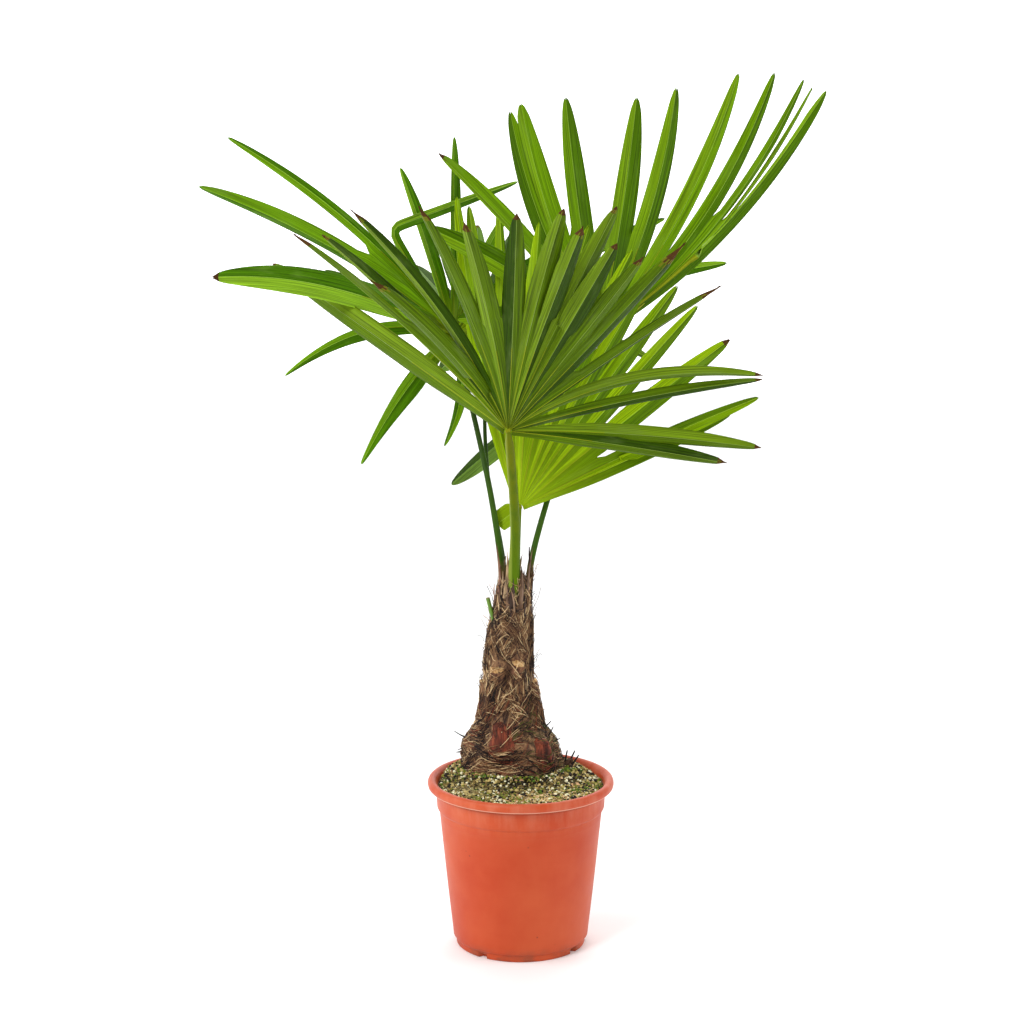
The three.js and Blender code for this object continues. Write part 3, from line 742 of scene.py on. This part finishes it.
def makeCurls(materials):
    # loose curled fibres and stiff dark spikes
    rng = random.Random(fibres["seed"] + 1)
    bm = bmesh.new()
    hair = tubeTemplate(3, 12, pointed=True)
    for _ in range(fibres["curls"]):
        share = rng.choice((rng.uniform(0.03, 0.98), rng.uniform(0.5, 1.0)))
        angle = rng.uniform(-math.pi, math.pi)
        length = rng.uniform(*fibres["curlLength"]) * rng.uniform(0.5, 1)
        root = trunkPoint(share, angle, -0.5)
        out = Vector((math.sin(angle), -math.cos(angle), 0))
        along = Vector((math.cos(angle), math.sin(angle), 0)) * rng.choice((-1, 1))
        climb = rng.uniform(-0.5, 0.9)
        stray = rng.uniform(0.15, 0.45)
        coil = rng.uniform(0.08, 0.2) * length
        turns = rng.uniform(2.5, 6)
        thick = rng.uniform(*fibres["curlThick"])

        def path(t):
            run = (out * stray + along * 0.6 + Vector((0, 0, climb))) * (length * t)
            swing = along * math.sin(turns * t) + Vector((0, 0, 1)) * (1 - math.cos(turns * t))
            return root + run + swing * coil * t + out * (2.5 * math.sin(math.pi * min(1, 3 * t)))

        part = bendTube(hair, path, lambda t: (thick, thick), Vector((0.3, 0.2, 1)))
        pour(bm, part, rng.choices(range(5), fibres["curlTints"])[0])
    for turn, z, length, rise, away, thick in fibres["spikes"]:
        angle, slope = math.radians(turn), math.radians(rise)
        root = trunkAt(z, angle, away)
        out = Vector((math.sin(angle) * math.cos(slope), -math.cos(angle) * math.cos(slope),
                      math.sin(slope)))
        bow = Vector((0, 0, length * 0.15))
        part = bendTube(hair, lambda t: root + out * (length * t) + bow * t * t,
                        lambda t: (thick - 0.6 * thick * t,) * 2, Vector((0.3, 0.2, 0.1)))
        pour(bm, part, 1 if thick > 2.5 else 0)
    hair.free()
    finishPiece(bm, "trunkCurls", materials, [])


# Soil

def soilFinish():
    mix = Finish("mossy compost", 0.95)
    patch = mix.noise(34, detail=4, roughness=0.6)
    fine = mix.noise(260, detail=3)
    colour = mix.ramp(fine, *toneStops(soil["tones"]))
    colour = mix.mixed(patch.above(0.48, 7) * 0.6, colour, fromScreen(*soil["moss"]))
    mix.feed("Base Color", colour)
    mix.relief(fine, 0.003, 0.8)
    return mix.material


def makeSoil():
    # the bed's top is one face from edge to edge, and lower than the crumbs near the trunk
    bm = bmesh.new()
    bmesh.ops.create_circle(bm, segments=soil["sides"], radius=soil["radius"])
    bmesh.ops.contextual_create(bm, geom=bm.edges[:])
    for vert in bm.verts:
        x, y = vert.co.x, vert.co.y
        rough = noise.noise(Vector((x, y, 0)) * 0.13) + 0.6 * noise.noise(Vector((x, y, 5)) * 0.4)
        vert.co.z = soilHeight(x, y) + rough * 1.3 - 0.8
    # skirt and underside, down inside the pot
    rim = [edge for edge in bm.edges if edge.is_boundary]
    for radius, height in soil["skirt"]:
        grown = bmesh.ops.extrude_edge_only(bm, edges=rim)["geom"]
        rim = [g for g in grown if isinstance(g, bmesh.types.BMEdge)]
        for vert in (g for g in grown if isinstance(g, bmesh.types.BMVert)):
            out = Vector((vert.co.x, vert.co.y)).normalized() * radius
            vert.co = (out.x, out.y, height)
    bmesh.ops.contextual_create(bm, geom=rim)
    bmesh.ops.recalc_face_normals(bm, faces=bm.faces)
    finishPiece(bm, "soilBed", [soilFinish()], ["soil"])


# Crumbs and chips

crumbs = {
    "seed": 19, "count": 6000, "size": (0.5, 3.2),
    "tints": [(34, 25, 12), (124, 104, 54), (186, 166, 102), (244, 232, 190), (116, 120, 30),
              (72, 102, 10)],
    "bare": (24, 24, 26, 15, 9, 4), "mossy": (20, 14, 13, 6, 24, 25), "mossReach": 16,
    # flat wood chips, mostly at the front
    "chips": 420, "chipLength": (3, 11), "chipMiddle": (34, -74), "chipSpread": (27, 15),
    "chipTints": [(196, 156, 110), (160, 116, 76), (226, 192, 146)],
    "anyTilt": 6.3, "chipTilt": 0.5,
}


def fromTrunk(x, y):
    # how far a place on the soil is from the trunk's foot
    turn = math.atan2(x - trunk["baseX"], trunk["baseY"] - y)
    foot = trunkPoint(0, turn) - Vector((trunk["baseX"], trunk["baseY"], 0))
    return math.hypot(x - trunk["baseX"], y - trunk["baseY"]) - math.hypot(foot.x, foot.y)


def onSoil(rng):
    # a random place on the soil, clear of the trunk's foot
    while True:
        radius = soil["radius"] * 0.985 * math.sqrt(rng.random())
        angle = rng.uniform(0, 2 * math.pi)
        x, y = radius * math.cos(angle), radius * math.sin(angle)
        if fromTrunk(x, y) > -4:
            return x, y


def makeCrumbs():
    rng = random.Random(crumbs["seed"])
    bm = bmesh.new()
    lump = bmesh.new()
    bmesh.ops.create_icosphere(lump, subdivisions=1, radius=1)
    chip = bmesh.new()
    bmesh.ops.create_cube(chip, size=2)
    for number in range(crumbs["count"] + crumbs["chips"]):
        if number < crumbs["count"]:
            x, y = onSoil(rng)
            part = lump.copy()
            size = rng.uniform(*crumbs["size"]) * rng.uniform(0.35, 1)
            shape = Vector((size, size * rng.uniform(0.6, 1), size * rng.uniform(0.5, 0.9)))
            patch = noise.noise(Vector((x, y, 0)) * 0.035)
            mossy = fromTrunk(x, y) < crumbs["mossReach"] * (0.6 + patch) or patch > 0.22
            tint = rng.choices(range(6), crumbs["mossy" if mossy else "bare"])[0]
            tilt = crumbs["anyTilt"]
        else:
            middle, spread = crumbs["chipMiddle"], crumbs["chipSpread"]
            x, y = rng.gauss(middle[0], spread[0]), rng.gauss(middle[1], spread[1])
            if math.hypot(x, y) > soil["radius"] - 6 or fromTrunk(x, y) < 2:
                x, y = onSoil(rng)
            part = chip.copy()
            size = rng.uniform(*crumbs["chipLength"]) / 2
            shape = Vector((size, size * rng.uniform(0.2, 0.5), rng.uniform(0.3, 0.6)))
            tint = len(crumbs["tints"]) + rng.randrange(3)
            tilt = crumbs["chipTilt"]
        for vert in part.verts:
            vert.co *= rng.uniform(0.75, 1.25)
        spin = Matrix.Rotation(rng.uniform(0, crumbs["anyTilt"]), 4, "Z")
        spin = spin @ Matrix.Rotation(rng.uniform(0, tilt), 4, "X")
        here = Matrix.Translation((x, y, soilHeight(x, y) + 0.5 + shape.z * 0.4))
        bmesh.ops.transform(part, matrix=here @ spin @ Matrix.Diagonal((*shape, 1)), verts=part.verts)
        pour(bm, part, tint)
    lump.free()
    chip.free()
    finishes = [plainFinish(f"crumb {number}", tint, 0.95, 0.35, 400)
                for number, tint in enumerate(crumbs["tints"] + crumbs["chipTints"])]
    finishPiece(bm, "soilCrumbs", finishes, [], smooth=False)


# Leaf fans, as in the source

blade = {
    "fold": 0.42, "edge": 0.6, "ribStart": 5, "joinShare": 0.52, "sideShare": 0.97,
    "rows": 40, "thick": 0.8, "ribHalf": 0.5, "ridge": 0.4, "creaseRoom": 0.05, "drawIn": 2.9,
    "bulge": 0.06, "wither": 0.76, "witherReach": 1.5, "browned": 2, "nearRib": 0.4,
    "young": (118, 122, 2), "youngReach": 0.07, "veins": (1100, 7, 1), "cloud": (70, 12, 1),
    "uvStep": 0.11, "ribTint": (142, 152, 14), "hubShape": (0.42, 0.16, 0.55),
    # places among the finishes, where the front skin's is followed by the rear skin's
    "ribPlaces": (6, 8), "dryPlace": 10, "fadePlace": 12, "hubPlace": 14,
    # places across a leaflet: its edges, its two halves and the rib's three lines
    "sides": [-1, -0.72, -0.42, -0.16, "rib-", 0, "rib+", 0.16, 0.42, 0.72, 1],
}

# each fan's tints and backTints run from lit to shaded: painted light and shade, dealt out to the
# halves of its leaflets
fans = {
    "front": {
        "hub": (-16, -120, 694.5), "foot": (-9, -6), "bow": (-6, -45, 575), "petiole": (13.5, 9),
        "knob": 9, "ribSide": 1, "spread": (-58, 102), "even": 0.5,
        "bearings": [-58.5, -45.5, -41, -39, -32.5, -19, -10, 2, 12, 17, 22.5, 26, 33.5, 39.5, 52.5,
                     76, 78, 94.5, 99.5],
        "reaches": [350, 351, 328, 253, 334, 306, 279, 285, 297, 284, 315, 277, 277, 317, 312, 312,
                    313, 310, 272],
        "lean": [(-58.5, -185), (-45.5, 76), (-32.5, 151), (-10, 239), (17, 250), (52.5, 111),
                 (76, 50), (78, 12), (99.5, -30)],
        "arch": [(52.5, 0.05), (76, 0.095), (78, 0.04), (94.5, 0.02)],
        "width": [(-58.5, 30), (-45.5, 26), (-32.5, 18), (-19, 26), (39.5, 27), (52.5, 21), (76, 19),
                  (78, 15), (94.5, 22)],
        "bends": {0: (-58.8, 181, -136)}, "twists": {0: 48}, "paintedShadeHalves": {0: (1, 0), 1: (0, 1)},
        "tip": 0.24, "grey": (112, 132, 72), "dry": 5, "young": (64, 78, 0), "youngReach": 0.06,
        "tints": [(102, 130, 18), (80, 108, 2), (46, 72, 0)],
        "backTints": [(72, 112, 8), (60, 98, 4), (48, 84, 2)],
        "dryTips": {1: 14, 3: 16, 9: 12, 12: 10, 13: 30, 14: 22, 4: 16, 5: 14, 6: 10, 18: 8},
    },
    "right": {
        "hub": (101, 130, 778), "foot": (11, 19), "bow": (39, 70, 590), "petiole": (8, 6),
        "knob": 8.5, "ribSide": -1, "spread": (-82, 115), "even": 0.05,
        "bearings": [-82, -57, -41, -22, -19, -8, 9.7, 18.2, 29, 34.6, 39.4, 41.4, 43.6, 70, 90,
                     115],
        "reaches": [184, 262, 313, 306, 310, 304, 304, 329, 379, 404, 420, 419, 428, 62, 66, 76],
        "lean": [(-82, 35), (-41, 35), (-22, -60), (10, -95), (29, -95), (44, -61), (70, -340),
                 (90, -310), (115, 10)],
        "arch": [(-41, 0.05), (-22, -0.12), (0, 0), (10, -0.14), (18, -0.165), (29, -0.11),
                 (34, -0.125), (41, -0.1), (44, -0.065), (70, 0.02)],
        "width": [(-57, 30), (-41, 32), (-22, 27), (-19, 34), (-8, 28), (10, 31), (18, 25), (34, 21),
                  (39, 14), (41, 9), (43, 27), (70, 27)],
        "bends": {}, "twists": {3: -50, 12: -62},
        "tip": 0.24, "grey": (116, 150, 58), "dry": 0.8,
        "tints": [(118, 156, 14), (102, 142, 2), (72, 108, 0)],
        "backTints": [(88, 118, 34), (76, 106, 22), (60, 90, 14)],
        "dryTips": {1: 2, 2: 7},
    },
    "low": {
        "hub": (-2, 35, 568), "foot": (-5, 14), "bow": (-4, 16, 530), "petiole": (8, 6),
        "knob": 8.5, "ribSide": -1, "spread": (-35, 72), "even": 0.5,
        "bearings": [-126, -12, -10, -4, 4, 14, 24, 30, 36, 42, 52, 66, 67],
        "reaches": [34, 392, 378, 377, 361, 367, 354, 322, 344, 341, 342, 336, 295],
        "lean": [(-126, 0), (-12, -150), (-3, -150), (4, -50), (31, -60), (66, -40)],
        "arch": [(36, 0.01), (52, 0.015), (66, 0.008)],
        "width": [(-126, 26), (-12, 20), (-4, 24), (36, 24), (42, 20), (52, 27), (66, 19)],
        "bends": {0: (-120, 16, 0)}, "tips": {0: 0.9}, "paintedShadeHalves": {0: (2, 2)},
        "tip": 0.24, "grey": (126, 158, 54), "dry": 1.5, "young": (152, 180, 14), "youngReach": 0.16,
        "tints": [(140, 174, 6), (120, 156, 2), (86, 120, 0)],
        "backTints": [(92, 126, 16), (78, 110, 10), (62, 92, 6)],
        "dryTips": {0: 0.1, 10: 5},
    },
    "left": {
        "hub": (-87, 150, 775), "foot": (-24.5, 16), "bow": (-48, 50, 640), "petiole": (8, 6),
        "knob": 8.5, "ribSide": -1, "spread": (-150, 80), "even": 0.4,
        "bearings": [-175, -143, -100, -70, -57, -47, 24, -18, 0, 25, 56, 64, 78],
        "reaches": [145, 196, 215, 304, 373, 383, 206, 225, 251, 158, 194, 314, 375],
        "lean": [(-175, 15), (-143, 80), (-100, 110), (-70, 250), (-57, 130), (-47, 89),
                 (-18, -39), (0, -84), (25, -140), (56, -160), (78, -150)],
        "arch": [(-143, 0.03), (-100, 0.145), (-57, 0.09), (-47, 0.085), (0, 0.03)],
        "width": [(-175, 17), (-143, 27), (-100, 19), (-70, 34), (-57, 30), (-47, 13), (-18, 20),
                  (0, 18), (24, 12), (25, 19), (78, 22)],
        "bends": {0: (158, 72, -14), 3: (-54, 178, 165)}, "creases": {6: (-29.5, 163, 40)},
        "drawIn": {0: 1.6, 1: 1.15, 2: 1.7}, "tips": {0: 0.12, 1: 0.1, 2: 0.1},
        "tip": 0.22, "grey": (138, 174, 74), "dry": 1.5,
        "tints": [(136, 180, 36), (110, 156, 12), (72, 118, 2)],
        "backTints": [(80, 122, 56), (70, 112, 44), (58, 98, 34)],
        "dryTips": {3: 6},
    },
    "back": {
        "hub": (-46, 215, 746), "foot": (-21, 27), "bow": (-51, 72, 632), "petiole": (6, 5),
        "knob": 7, "ribSide": -1, "spread": (-128, 120), "even": 0.5,
        "bearings": [-128, -91, -66, -50, -29, -6, 18, 41, 60, 79, 98, 195],
        "reaches": [84, 123, 239, 134, 138, 141, 148, 158, 166, 160, 144, 173],
        "lean": [(-128, -165), (-91, -215), (-66, -77), (-50, -252), (-6, -275), (41, -265),
                 (98, -145), (195, 75)],
        "arch": [(0, 0.04)],
        "width": [(98, 25), (195, 30)],
        "bends": {}, "creases": {11: (170, 130, -25)},
        "tip": 0.2, "grey": (126, 152, 90), "dry": 3,
        "tints": [(108, 142, 50), (84, 120, 16), (56, 86, 4)],
        "backTints": [(104, 134, 76), (86, 118, 56), (68, 98, 40)],
        "dryTips": {},
    },
}


def bearingVector(bearing, reach, toward):
    turn = math.radians(bearing)
    return Vector((reach * math.sin(turn), -toward, reach * math.cos(turn)))


def leafletCurves(fan):
    hub = Vector(fan["hub"])
    last = len(fan["bearings"]) - 1
    leaflets = []
    for i, (bearing, reach) in enumerate(zip(fan["bearings"], fan["reaches"])):
        even = fan["spread"][0] + (fan["spread"][1] - fan["spread"][0]) * i / last
        toward = readRun(fan["lean"], bearing)
        chord = bearingVector(bearing, reach, toward)
        length = chord.length
        crease = fan.get("creases", {}).get(i)
        if crease:
            knee = hub + bearingVector(*crease)
            length = (knee - hub).length + (hub + chord - knee).length
        elif i in fan["bends"]:
            knee = hub + bearingVector(*fan["bends"][i])
        else:
            start = bearing + (even - bearing) * fan["even"]
            leaving = bearingVector(start, reach, toward).normalized()
            lift = Vector((0, 0, 1)) - chord * (chord.z / length ** 2)
            knee = hub + leaving * (length * 0.48) + lift * (2 * readRun(fan["arch"], bearing) * length)
        leaflets.append({
            "curve": (hub, knee, hub + chord), "length": length,
            "crease": (knee - hub).length / length if crease else None,
            "width": readRun(fan["width"], bearing), "leaving": (knee - hub).normalized(),
        })
    for i, leaflet in enumerate(leaflets):
        before = leaflets[max(0, i - 1)]["leaving"]
        after = leaflets[min(last, i + 1)]["leaving"]
        leaflet["face"] = (after - before).cross(leaflet["leaving"]).normalized()
        twist = math.radians(fan.get("twists", {}).get(i, 0))
        leaflet["face"] = Matrix.Rotation(twist, 3, leaflet["leaving"]) @ leaflet["face"]
        leaflet["tip"] = fan.get("tips", {}).get(i, fan["tip"])
        leaflet["drawIn"] = fan.get("drawIn", {}).get(i, blade["drawIn"])
    return leaflets


def alongLeaflet(leaflet, share):
    # a place on the leaflet's middle line and the way it runs there
    crease = leaflet["crease"]
    if crease is None:
        return bezier(*leaflet["curve"], share), bezierTangent(*leaflet["curve"], share)
    hub, corner, tip = leaflet["curve"]
    room = blade["creaseRoom"]
    if share < crease - room:
        return hub.lerp(corner, share / crease), (corner - hub).normalized()
    if share > crease + room:
        return corner.lerp(tip, (share - crease) / (1 - crease)), (tip - corner).normalized()
    # rounded off at the crease
    arc = hub.lerp(corner, 1 - room / crease), corner, corner.lerp(tip, room / (1 - crease))
    turned = (share - crease) / (2 * room) + 0.5
    return bezier(*arc, turned), bezierTangent(*arc, turned)


def leafWidth(share, tip, drawIn):
    # broad over the middle, drawn in to a narrow tip
    if share < 0.4:
        return 0.45 + 0.55 * smoothStep(share / 0.4)
    point = 1 - 0.55 * max(0, (share - 0.94) / 0.06) ** 2
    return (tip + (1 - tip) * (1 - max(0, (share - 0.45) / 0.55) ** drawIn)) * point


def fanRows(fan):
    # the rows of every leaflet: middle, direction across, face and half width
    leaflets = leafletCurves(fan)
    rows = blade["rows"]
    for leaflet in leaflets:
        start = blade["ribStart"] / leaflet["length"]
        leaflet["rows"] = []
        for row in range(rows + 1):
            station = 1 - (1 - row / rows) ** 1.2
            share = start + (1 - start) * station
            at, along = alongLeaflet(leaflet, share)
            across = along.cross(leaflet["face"]).normalized()
            face = across.cross(along).normalized()
            half = leaflet["width"] / 2 * leafWidth(share, leaflet["tip"], leaflet["drawIn"])
            half += blade["edge"]
            leaflet["rows"].append((at, across, face, half, station, share))
    return leaflets


def leafFinish(name, tint, roughness, grey, young, reach):
    # fine veins along the leaflet, a grey bloom in patches, and the young tint towards the hub
    leaf = Finish(name, roughness, Specular_IOR_Level=0.05)
    along = leaf.parts(leaf.place(source="UV"))[1]
    veins = leaf.noise(1, leaf.place(blade["veins"], source="UV"), 2, 0.6)
    cloud = leaf.noise(1, leaf.place(blade["cloud"], source="UV"), 3, 0.6)
    colour = leaf.mixed(leaf.mask(veins, 0.36, 0.66), shaded(tint, 0.5), shaded(tint, 1.35))
    colour = leaf.mixed(cloud.above(0.54, 5) * 0.32, colour, fromScreen(*grey))
    colour = leaf.mixed(along.below(reach, 1 / reach) * 0.6, colour, fromScreen(*young))
    leaf.feed("Base Color", colour)
    leaf.feed("Roughness", roughness - 0.1 + 0.2 * cloud)
    leaf.relief(veins, 0.0007, 0.6)
    return leaf.material


def plainFinish(name, tint, roughness=0.5, spread=0.25, scale=180, shine=0.5):
    plain = Finish(name, roughness, Specular_IOR_Level=shine)
    tone = plain.noise(scale)
    plain.feed("Base Color", plain.mixed(tone, shaded(tint, 1 - spread), shaded(tint, 1 + spread)))
    plain.relief(tone, 0.0004, 0.5)
    return plain.material


def bladeFinishes(name, fan, shared):
    # three of the leaf itself, lit, middle and shaded (painted light and shade), then near rib, far
    # rib, dry and fading tips, and the hub
    materials = []
    young = [fan.get(key, blade[key]) for key in ("young", "youngReach")]
    for number, (front, rear) in enumerate(zip(fan["tints"], fan["backTints"])):
        materials.append(leafFinish(f"{name} face {number}", front, 0.46, fan["grey"], *young))
        materials.append(leafFinish(f"{name} rear {number}", rear, 0.52, fan["grey"], *young))
    nearRib = plainFinish(f"{name} rib near", blade["ribTint"], 0.5, 0.15, 180, 0.15)
    farRib = plainFinish(f"{name} rib far", [min(255, c + 16) for c in fan["tints"][0]], 0.5, 0.15)
    for finish in (nearRib, farRib, shared["dry"], shared["fade"]):
        materials += [finish, finish]
    return materials + [shared["hub"]]


def addHub(bm, fan, leaflet):
    # a small smooth swelling under the ribs
    hub = bmesh.new()
    bmesh.ops.create_uvsphere(hub, u_segments=20, v_segments=12, radius=1)
    face, along = leaflet["face"], leaflet["leaving"]
    across = along.cross(face).normalized()
    wide, deep, tall = (fan["knob"] * share for share in blade["hubShape"])
    for vert in hub.verts:
        x, y, z = vert.co
        vert.co = Vector(fan["hub"]) + across * (x * wide) + along * (z * tall) + face * (y * deep)
    pour(bm, hub, blade["hubPlace"])


def makeBlade(name, fan, shared):
    rng = random.Random(sum(map(ord, name)))
    leaflets = fanRows(fan)
    rows = blade["rows"]
    sides = blade["sides"]
    columns = len(sides) - 1
    facing = fan["ribSide"]

    def room(i, j, row):
        if j < 0 or j >= len(leaflets):
            return math.inf
        return (leaflets[i]["rows"][row][0] - leaflets[j]["rows"][row][0]).length / 2

    def halves(i, row):
        # half widths to the left and to the right, kept clear of the neighbours
        half = leaflets[i]["rows"][row][3]
        return [min(half, room(i, i + turn, row) * blade["sideShare"]) for turn in (-1, 1)]

    def foldDepth(i, row):
        return facing * blade["fold"] * min(halves(i, row))

    # leaflets are joined up to the row where the gap between them is wider than they are
    joined = []
    for i in range(len(leaflets) - 1):
        row = 1
        while (row < rows and leaflets[i]["rows"][row + 1][4] <= blade["joinShare"]
               and room(i, i + 1, row + 1) < leaflets[i]["rows"][row + 1][3]):
            row += 1
        joined.append(row)
    joined.append(-1)
    bm = bmesh.new()
    bm.loops.layers.uv.new("leaf")
    for i, leaflet in enumerate(leaflets):
        fork = rng.uniform(1.5, 4) / leaflet["length"]
        dry = fan["dryTips"].get(i, fan["dry"] * rng.uniform(0.3, 1.3)) / leaflet["length"]
        # painted light and shade: each half takes the lit, middle or shaded tint, and the half that
        # faces left is mostly the lit one
        tints = rng.choice(((0, 1), (0, 2), (1, 2), (0, 2), (1, 1), (2, 1)))
        tints = fan.get("paintedShadeHalves", {}).get(i, tints)
        part = bmesh.new()
        partUv = part.loops.layers.uv.new("leaf")
        bmesh.ops.create_grid(part, x_segments=columns, y_segments=rows, size=0.5)
        keys = {vert: (round((vert.co.x + 0.5) * columns), round((vert.co.y + 0.5) * rows))
                for vert in part.verts}
        coordinates = {}
        for vert, (column, row) in keys.items():
            at, across, face, _, _, share = leaflet["rows"][row]
            fold = foldDepth(i, row)
            rib = at + face * (fold / 2)
            turn = -1 if column < columns / 2 else 1
            shrunk = dry * blade["witherReach"]
            withered = 1 - blade["wither"] * smoothStep((share - 1 + shrunk) / shrunk)
            own = halves(i, row)[turn > 0] * withered
            pair = i if turn > 0 else i - 1
            if pair >= 0 and row <= joined[pair]:
                # two leaflets share this edge, at the fold depth of the first of them
                other = leaflets[i + turn]["rows"][row]
                both = (face + other[2]).normalized()
                edge = (at + other[0]) / 2 - both * (foldDepth(pair, row) / 2)
            else:
                edge = at + across * (turn * own) - face * (fold / 2)
            side = sides[column]
            if isinstance(side, str):
                narrow = blade["ribHalf"] * (1 - 0.55 * share)
                amount = min(0.12, narrow / max(0.5, (edge - rib).length))
            else:
                amount = abs(side)
            place = rib.lerp(edge, amount)
            bulge = math.sin(math.pi * amount) * blade["bulge"] * own
            place += face * (facing * bulge)
            if amount == 0:
                place += face * (facing * blade["ridge"] * (1 - 0.6 * share))
            # the tip is cut back along the rib, so it ends in two points
            back = fork * (1 - amount) ** 1.2 * smoothStep((share - 1 + 2.4 * fork) / (2.4 * fork))
            along = alongLeaflet(leaflet, share)[1]
            place -= along * (back * leaflet["length"])
            vert.co = place
            coordinates[vert] = (turn * amount * own * 0.001 + i * blade["uvStep"],
                                 share * leaflet["length"] * 0.001)
        for face in part.faces:
            first = min(keys[vert][0] for vert in face.verts)
            last = max(keys[vert][0] for vert in face.verts)
            share = leaflet["rows"][max(keys[vert][1] for vert in face.verts)][5]
            onRib = first >= columns // 2 - 1 and last <= columns // 2 + 1
            ragged = dry * (1 + 0.5 * noise.noise(Vector((first * 1.7, i * 3.3, 0))))
            browned = dry * leaflet["length"] > blade["browned"]
            if browned and share > 1 - ragged:
                face.material_index = blade["dryPlace"]
            elif browned and share > 1 - ragged * 1.2:
                face.material_index = blade["fadePlace"]
            elif onRib:
                face.material_index = blade["ribPlaces"][share >= blade["nearRib"]]
            else:
                face.material_index = tints[first >= columns // 2] * 2
            for loop in face.loops:
                loop[partUv].uv = coordinates[loop.vert]
        pour(bm, part)
    bmesh.ops.remove_doubles(bm, verts=bm.verts, dist=0.02)
    grown = bmesh.ops.solidify(bm, geom=bm.faces[:], thickness=blade["thick"])["geom"]
    for piece in grown:
        if isinstance(piece, bmesh.types.BMFace):
            piece.material_index += 1
    addHub(bm, fan, leaflets[len(leaflets) // 2])
    finishPiece(bm, f"frond{name.capitalize()}", bladeFinishes(name, fan, shared),
                [f"blade_{name}"])


# Petioles

def petiolePath(fan):
    base = trunk["topZ"] + clear
    foot = Vector((*fan["foot"], base))
    hub, bow = Vector(fan["hub"]), Vector(fan["bow"])
    upright = foot + Vector((0, 0, (bow.z - base) * 0.16))
    half = (upright + bow) / 2
    # the front one runs down the bark's face, and the rest into the trunk
    root = trunkAt(446, 0, -1.5) if foot.y < 0 else foot - Vector((0, 0, 34))
    end = 1 + 4 / (hub - half).length

    def path(t):
        if t < 0.1:
            return root.lerp(foot, t / 0.1)
        if t < 0.45:
            return bezier(foot, upright, half, (t - 0.1) / 0.35)
        return bezier(half, bow, hub, (t - 0.45) / 0.55 * end)

    return path


stalks = {
    # lower and upper tone, and the height in metres to which the root is brown
    # the dark tones are painted shade, for the stalks that sit in shadow behind the front ones
    "green": ((80, 108, 0), (98, 106, 0), 0.455), "dark": ((52, 84, 16), (40, 62, 20), 0.505),
    # the pale line on the front stalks is a painted highlight
    "streak": (62, 92, 10), "stalkHighlight": (140, 152, 60), "root": (122, 92, 60),
    "stalkHighlightX": -0.0106, "stalkHighlightZ": 0.553, "stalkHighlightSlope": 0.045,
    "sides": 20, "rings": 40,
}


def petioleFinish(name, low, high, rootZ, highlighted):
    stalk = Finish(name, 0.46, Specular_IOR_Level=0.08)
    x, _, z = stalk.parts(stalk.place())
    streak = stalk.noise(120, stalk.place((1, 1, 0.05)), 3)
    colour = stalk.mixed(z.above(0.5, 6), fromScreen(*low), fromScreen(*high))
    colour = stalk.mixed(streak.above(0.45, 4) * 0.5, colour, fromScreen(*stalks["streak"]))
    if highlighted:
        # a painted highlight: a pale line along the left edge
        edge = stalks["stalkHighlightX"] - x - (z - stalks["stalkHighlightZ"]).clamped() * stalks["stalkHighlightSlope"]
        colour = stalk.mixed((edge * 600).clamped() * 0.5, colour, fromScreen(*stalks["stalkHighlight"]))
    colour = stalk.mixed(z.below(rootZ, 45), colour, fromScreen(*stalks["root"]))
    stalk.feed("Base Color", colour)
    stalk.relief(streak, 0.001, 0.4)
    return stalk.material


def makePetioles():
    green = petioleFinish("petiole yellow green", *stalks["green"], True)
    # painted shade: the rear stalks take darker greens
    dark = petioleFinish("petiole green in painted shade", *stalks["dark"], False)
    for name, fan in fans.items():
        template = tubeTemplate(stalks["sides"], stalks["rings"])
        wide, deep = fan["petiole"]

        def size(t):
            taper = (1.1 - 0.34 * t) * smoothStep(0.25 + t * 7.5)
            taper *= 1 - 0.75 * smoothStep(t * 20 - 19)
            return wide / 2 * taper, deep / 2 * taper

        bm = bendTube(template, petiolePath(fan), size)
        template.free()
        material = green if name in ("front", "low") else dark
        finishPiece(bm, f"petiole{name.capitalize()}", [material], [f"petiole_{name}"])


# The green end of a cut stalk

cutStub = {
    "turn": -76, "from": 424, "to": 456, "width": 8, "lean": 8, "inset": 3,
    "sides": 14, "rings": 10, "tint": (84, 120, 14), "cutTint": (120, 110, 40),
}


def makeCutStub():
    angle = math.radians(cutStub["turn"])
    outward = Vector((math.sin(angle), -math.cos(angle), 0))
    across = Vector((math.cos(angle), math.sin(angle), 0))
    root = trunkAt(cutStub["from"], angle, -cutStub["inset"])
    rise = outward * cutStub["lean"] + Vector((0, 0, cutStub["to"] - cutStub["from"]))
    width = cutStub["width"]
    template = tubeTemplate(cutStub["sides"], cutStub["rings"])
    bm = bendTube(template, lambda t: root + rise * t,
                  lambda t: (width / 2 * (1.1 - 0.2 * t), width / 3), across)
    template.free()
    for face in bm.faces:
        if len(face.verts) > 4 and face.calc_center_median().z > cutStub["to"] - 3:
            face.material_index = 1
    finishes = [plainFinish("stub green", cutStub["tint"]), plainFinish("stub cut", cutStub["cutTint"])]
    finishPiece(bm, "cutStub", finishes, ["cut_stub"])


setStudio()
makePot()
makeSoil()
makeCrumbs()
makeTrunk()
fibreFinishes = [fibreFinish(f"fibre {n}", tint) for n, tint in enumerate(fibres["tints"])]
makeFibres(fibreFinishes)
makeCurls(fibreFinishes)
makeLeafBases()
makeSheaths()
makePetioles()
makeCutStub()
sharedLeaf = {
    "dry": plainFinish("dry leaf tip", (76, 50, 24), 0.8, 0.6, 400, 0.05),
    "fade": plainFinish("fading leaf", (104, 108, 22), 0.6, 0.3, 400, 0.05),
    "hub": plainFinish("hub yellow green", (118, 124, 2), 0.5, 0.2, 180, 0.1),
}
for fanName, fanShape in fans.items():
    makeBlade(fanName, fanShape, sharedLeaf)
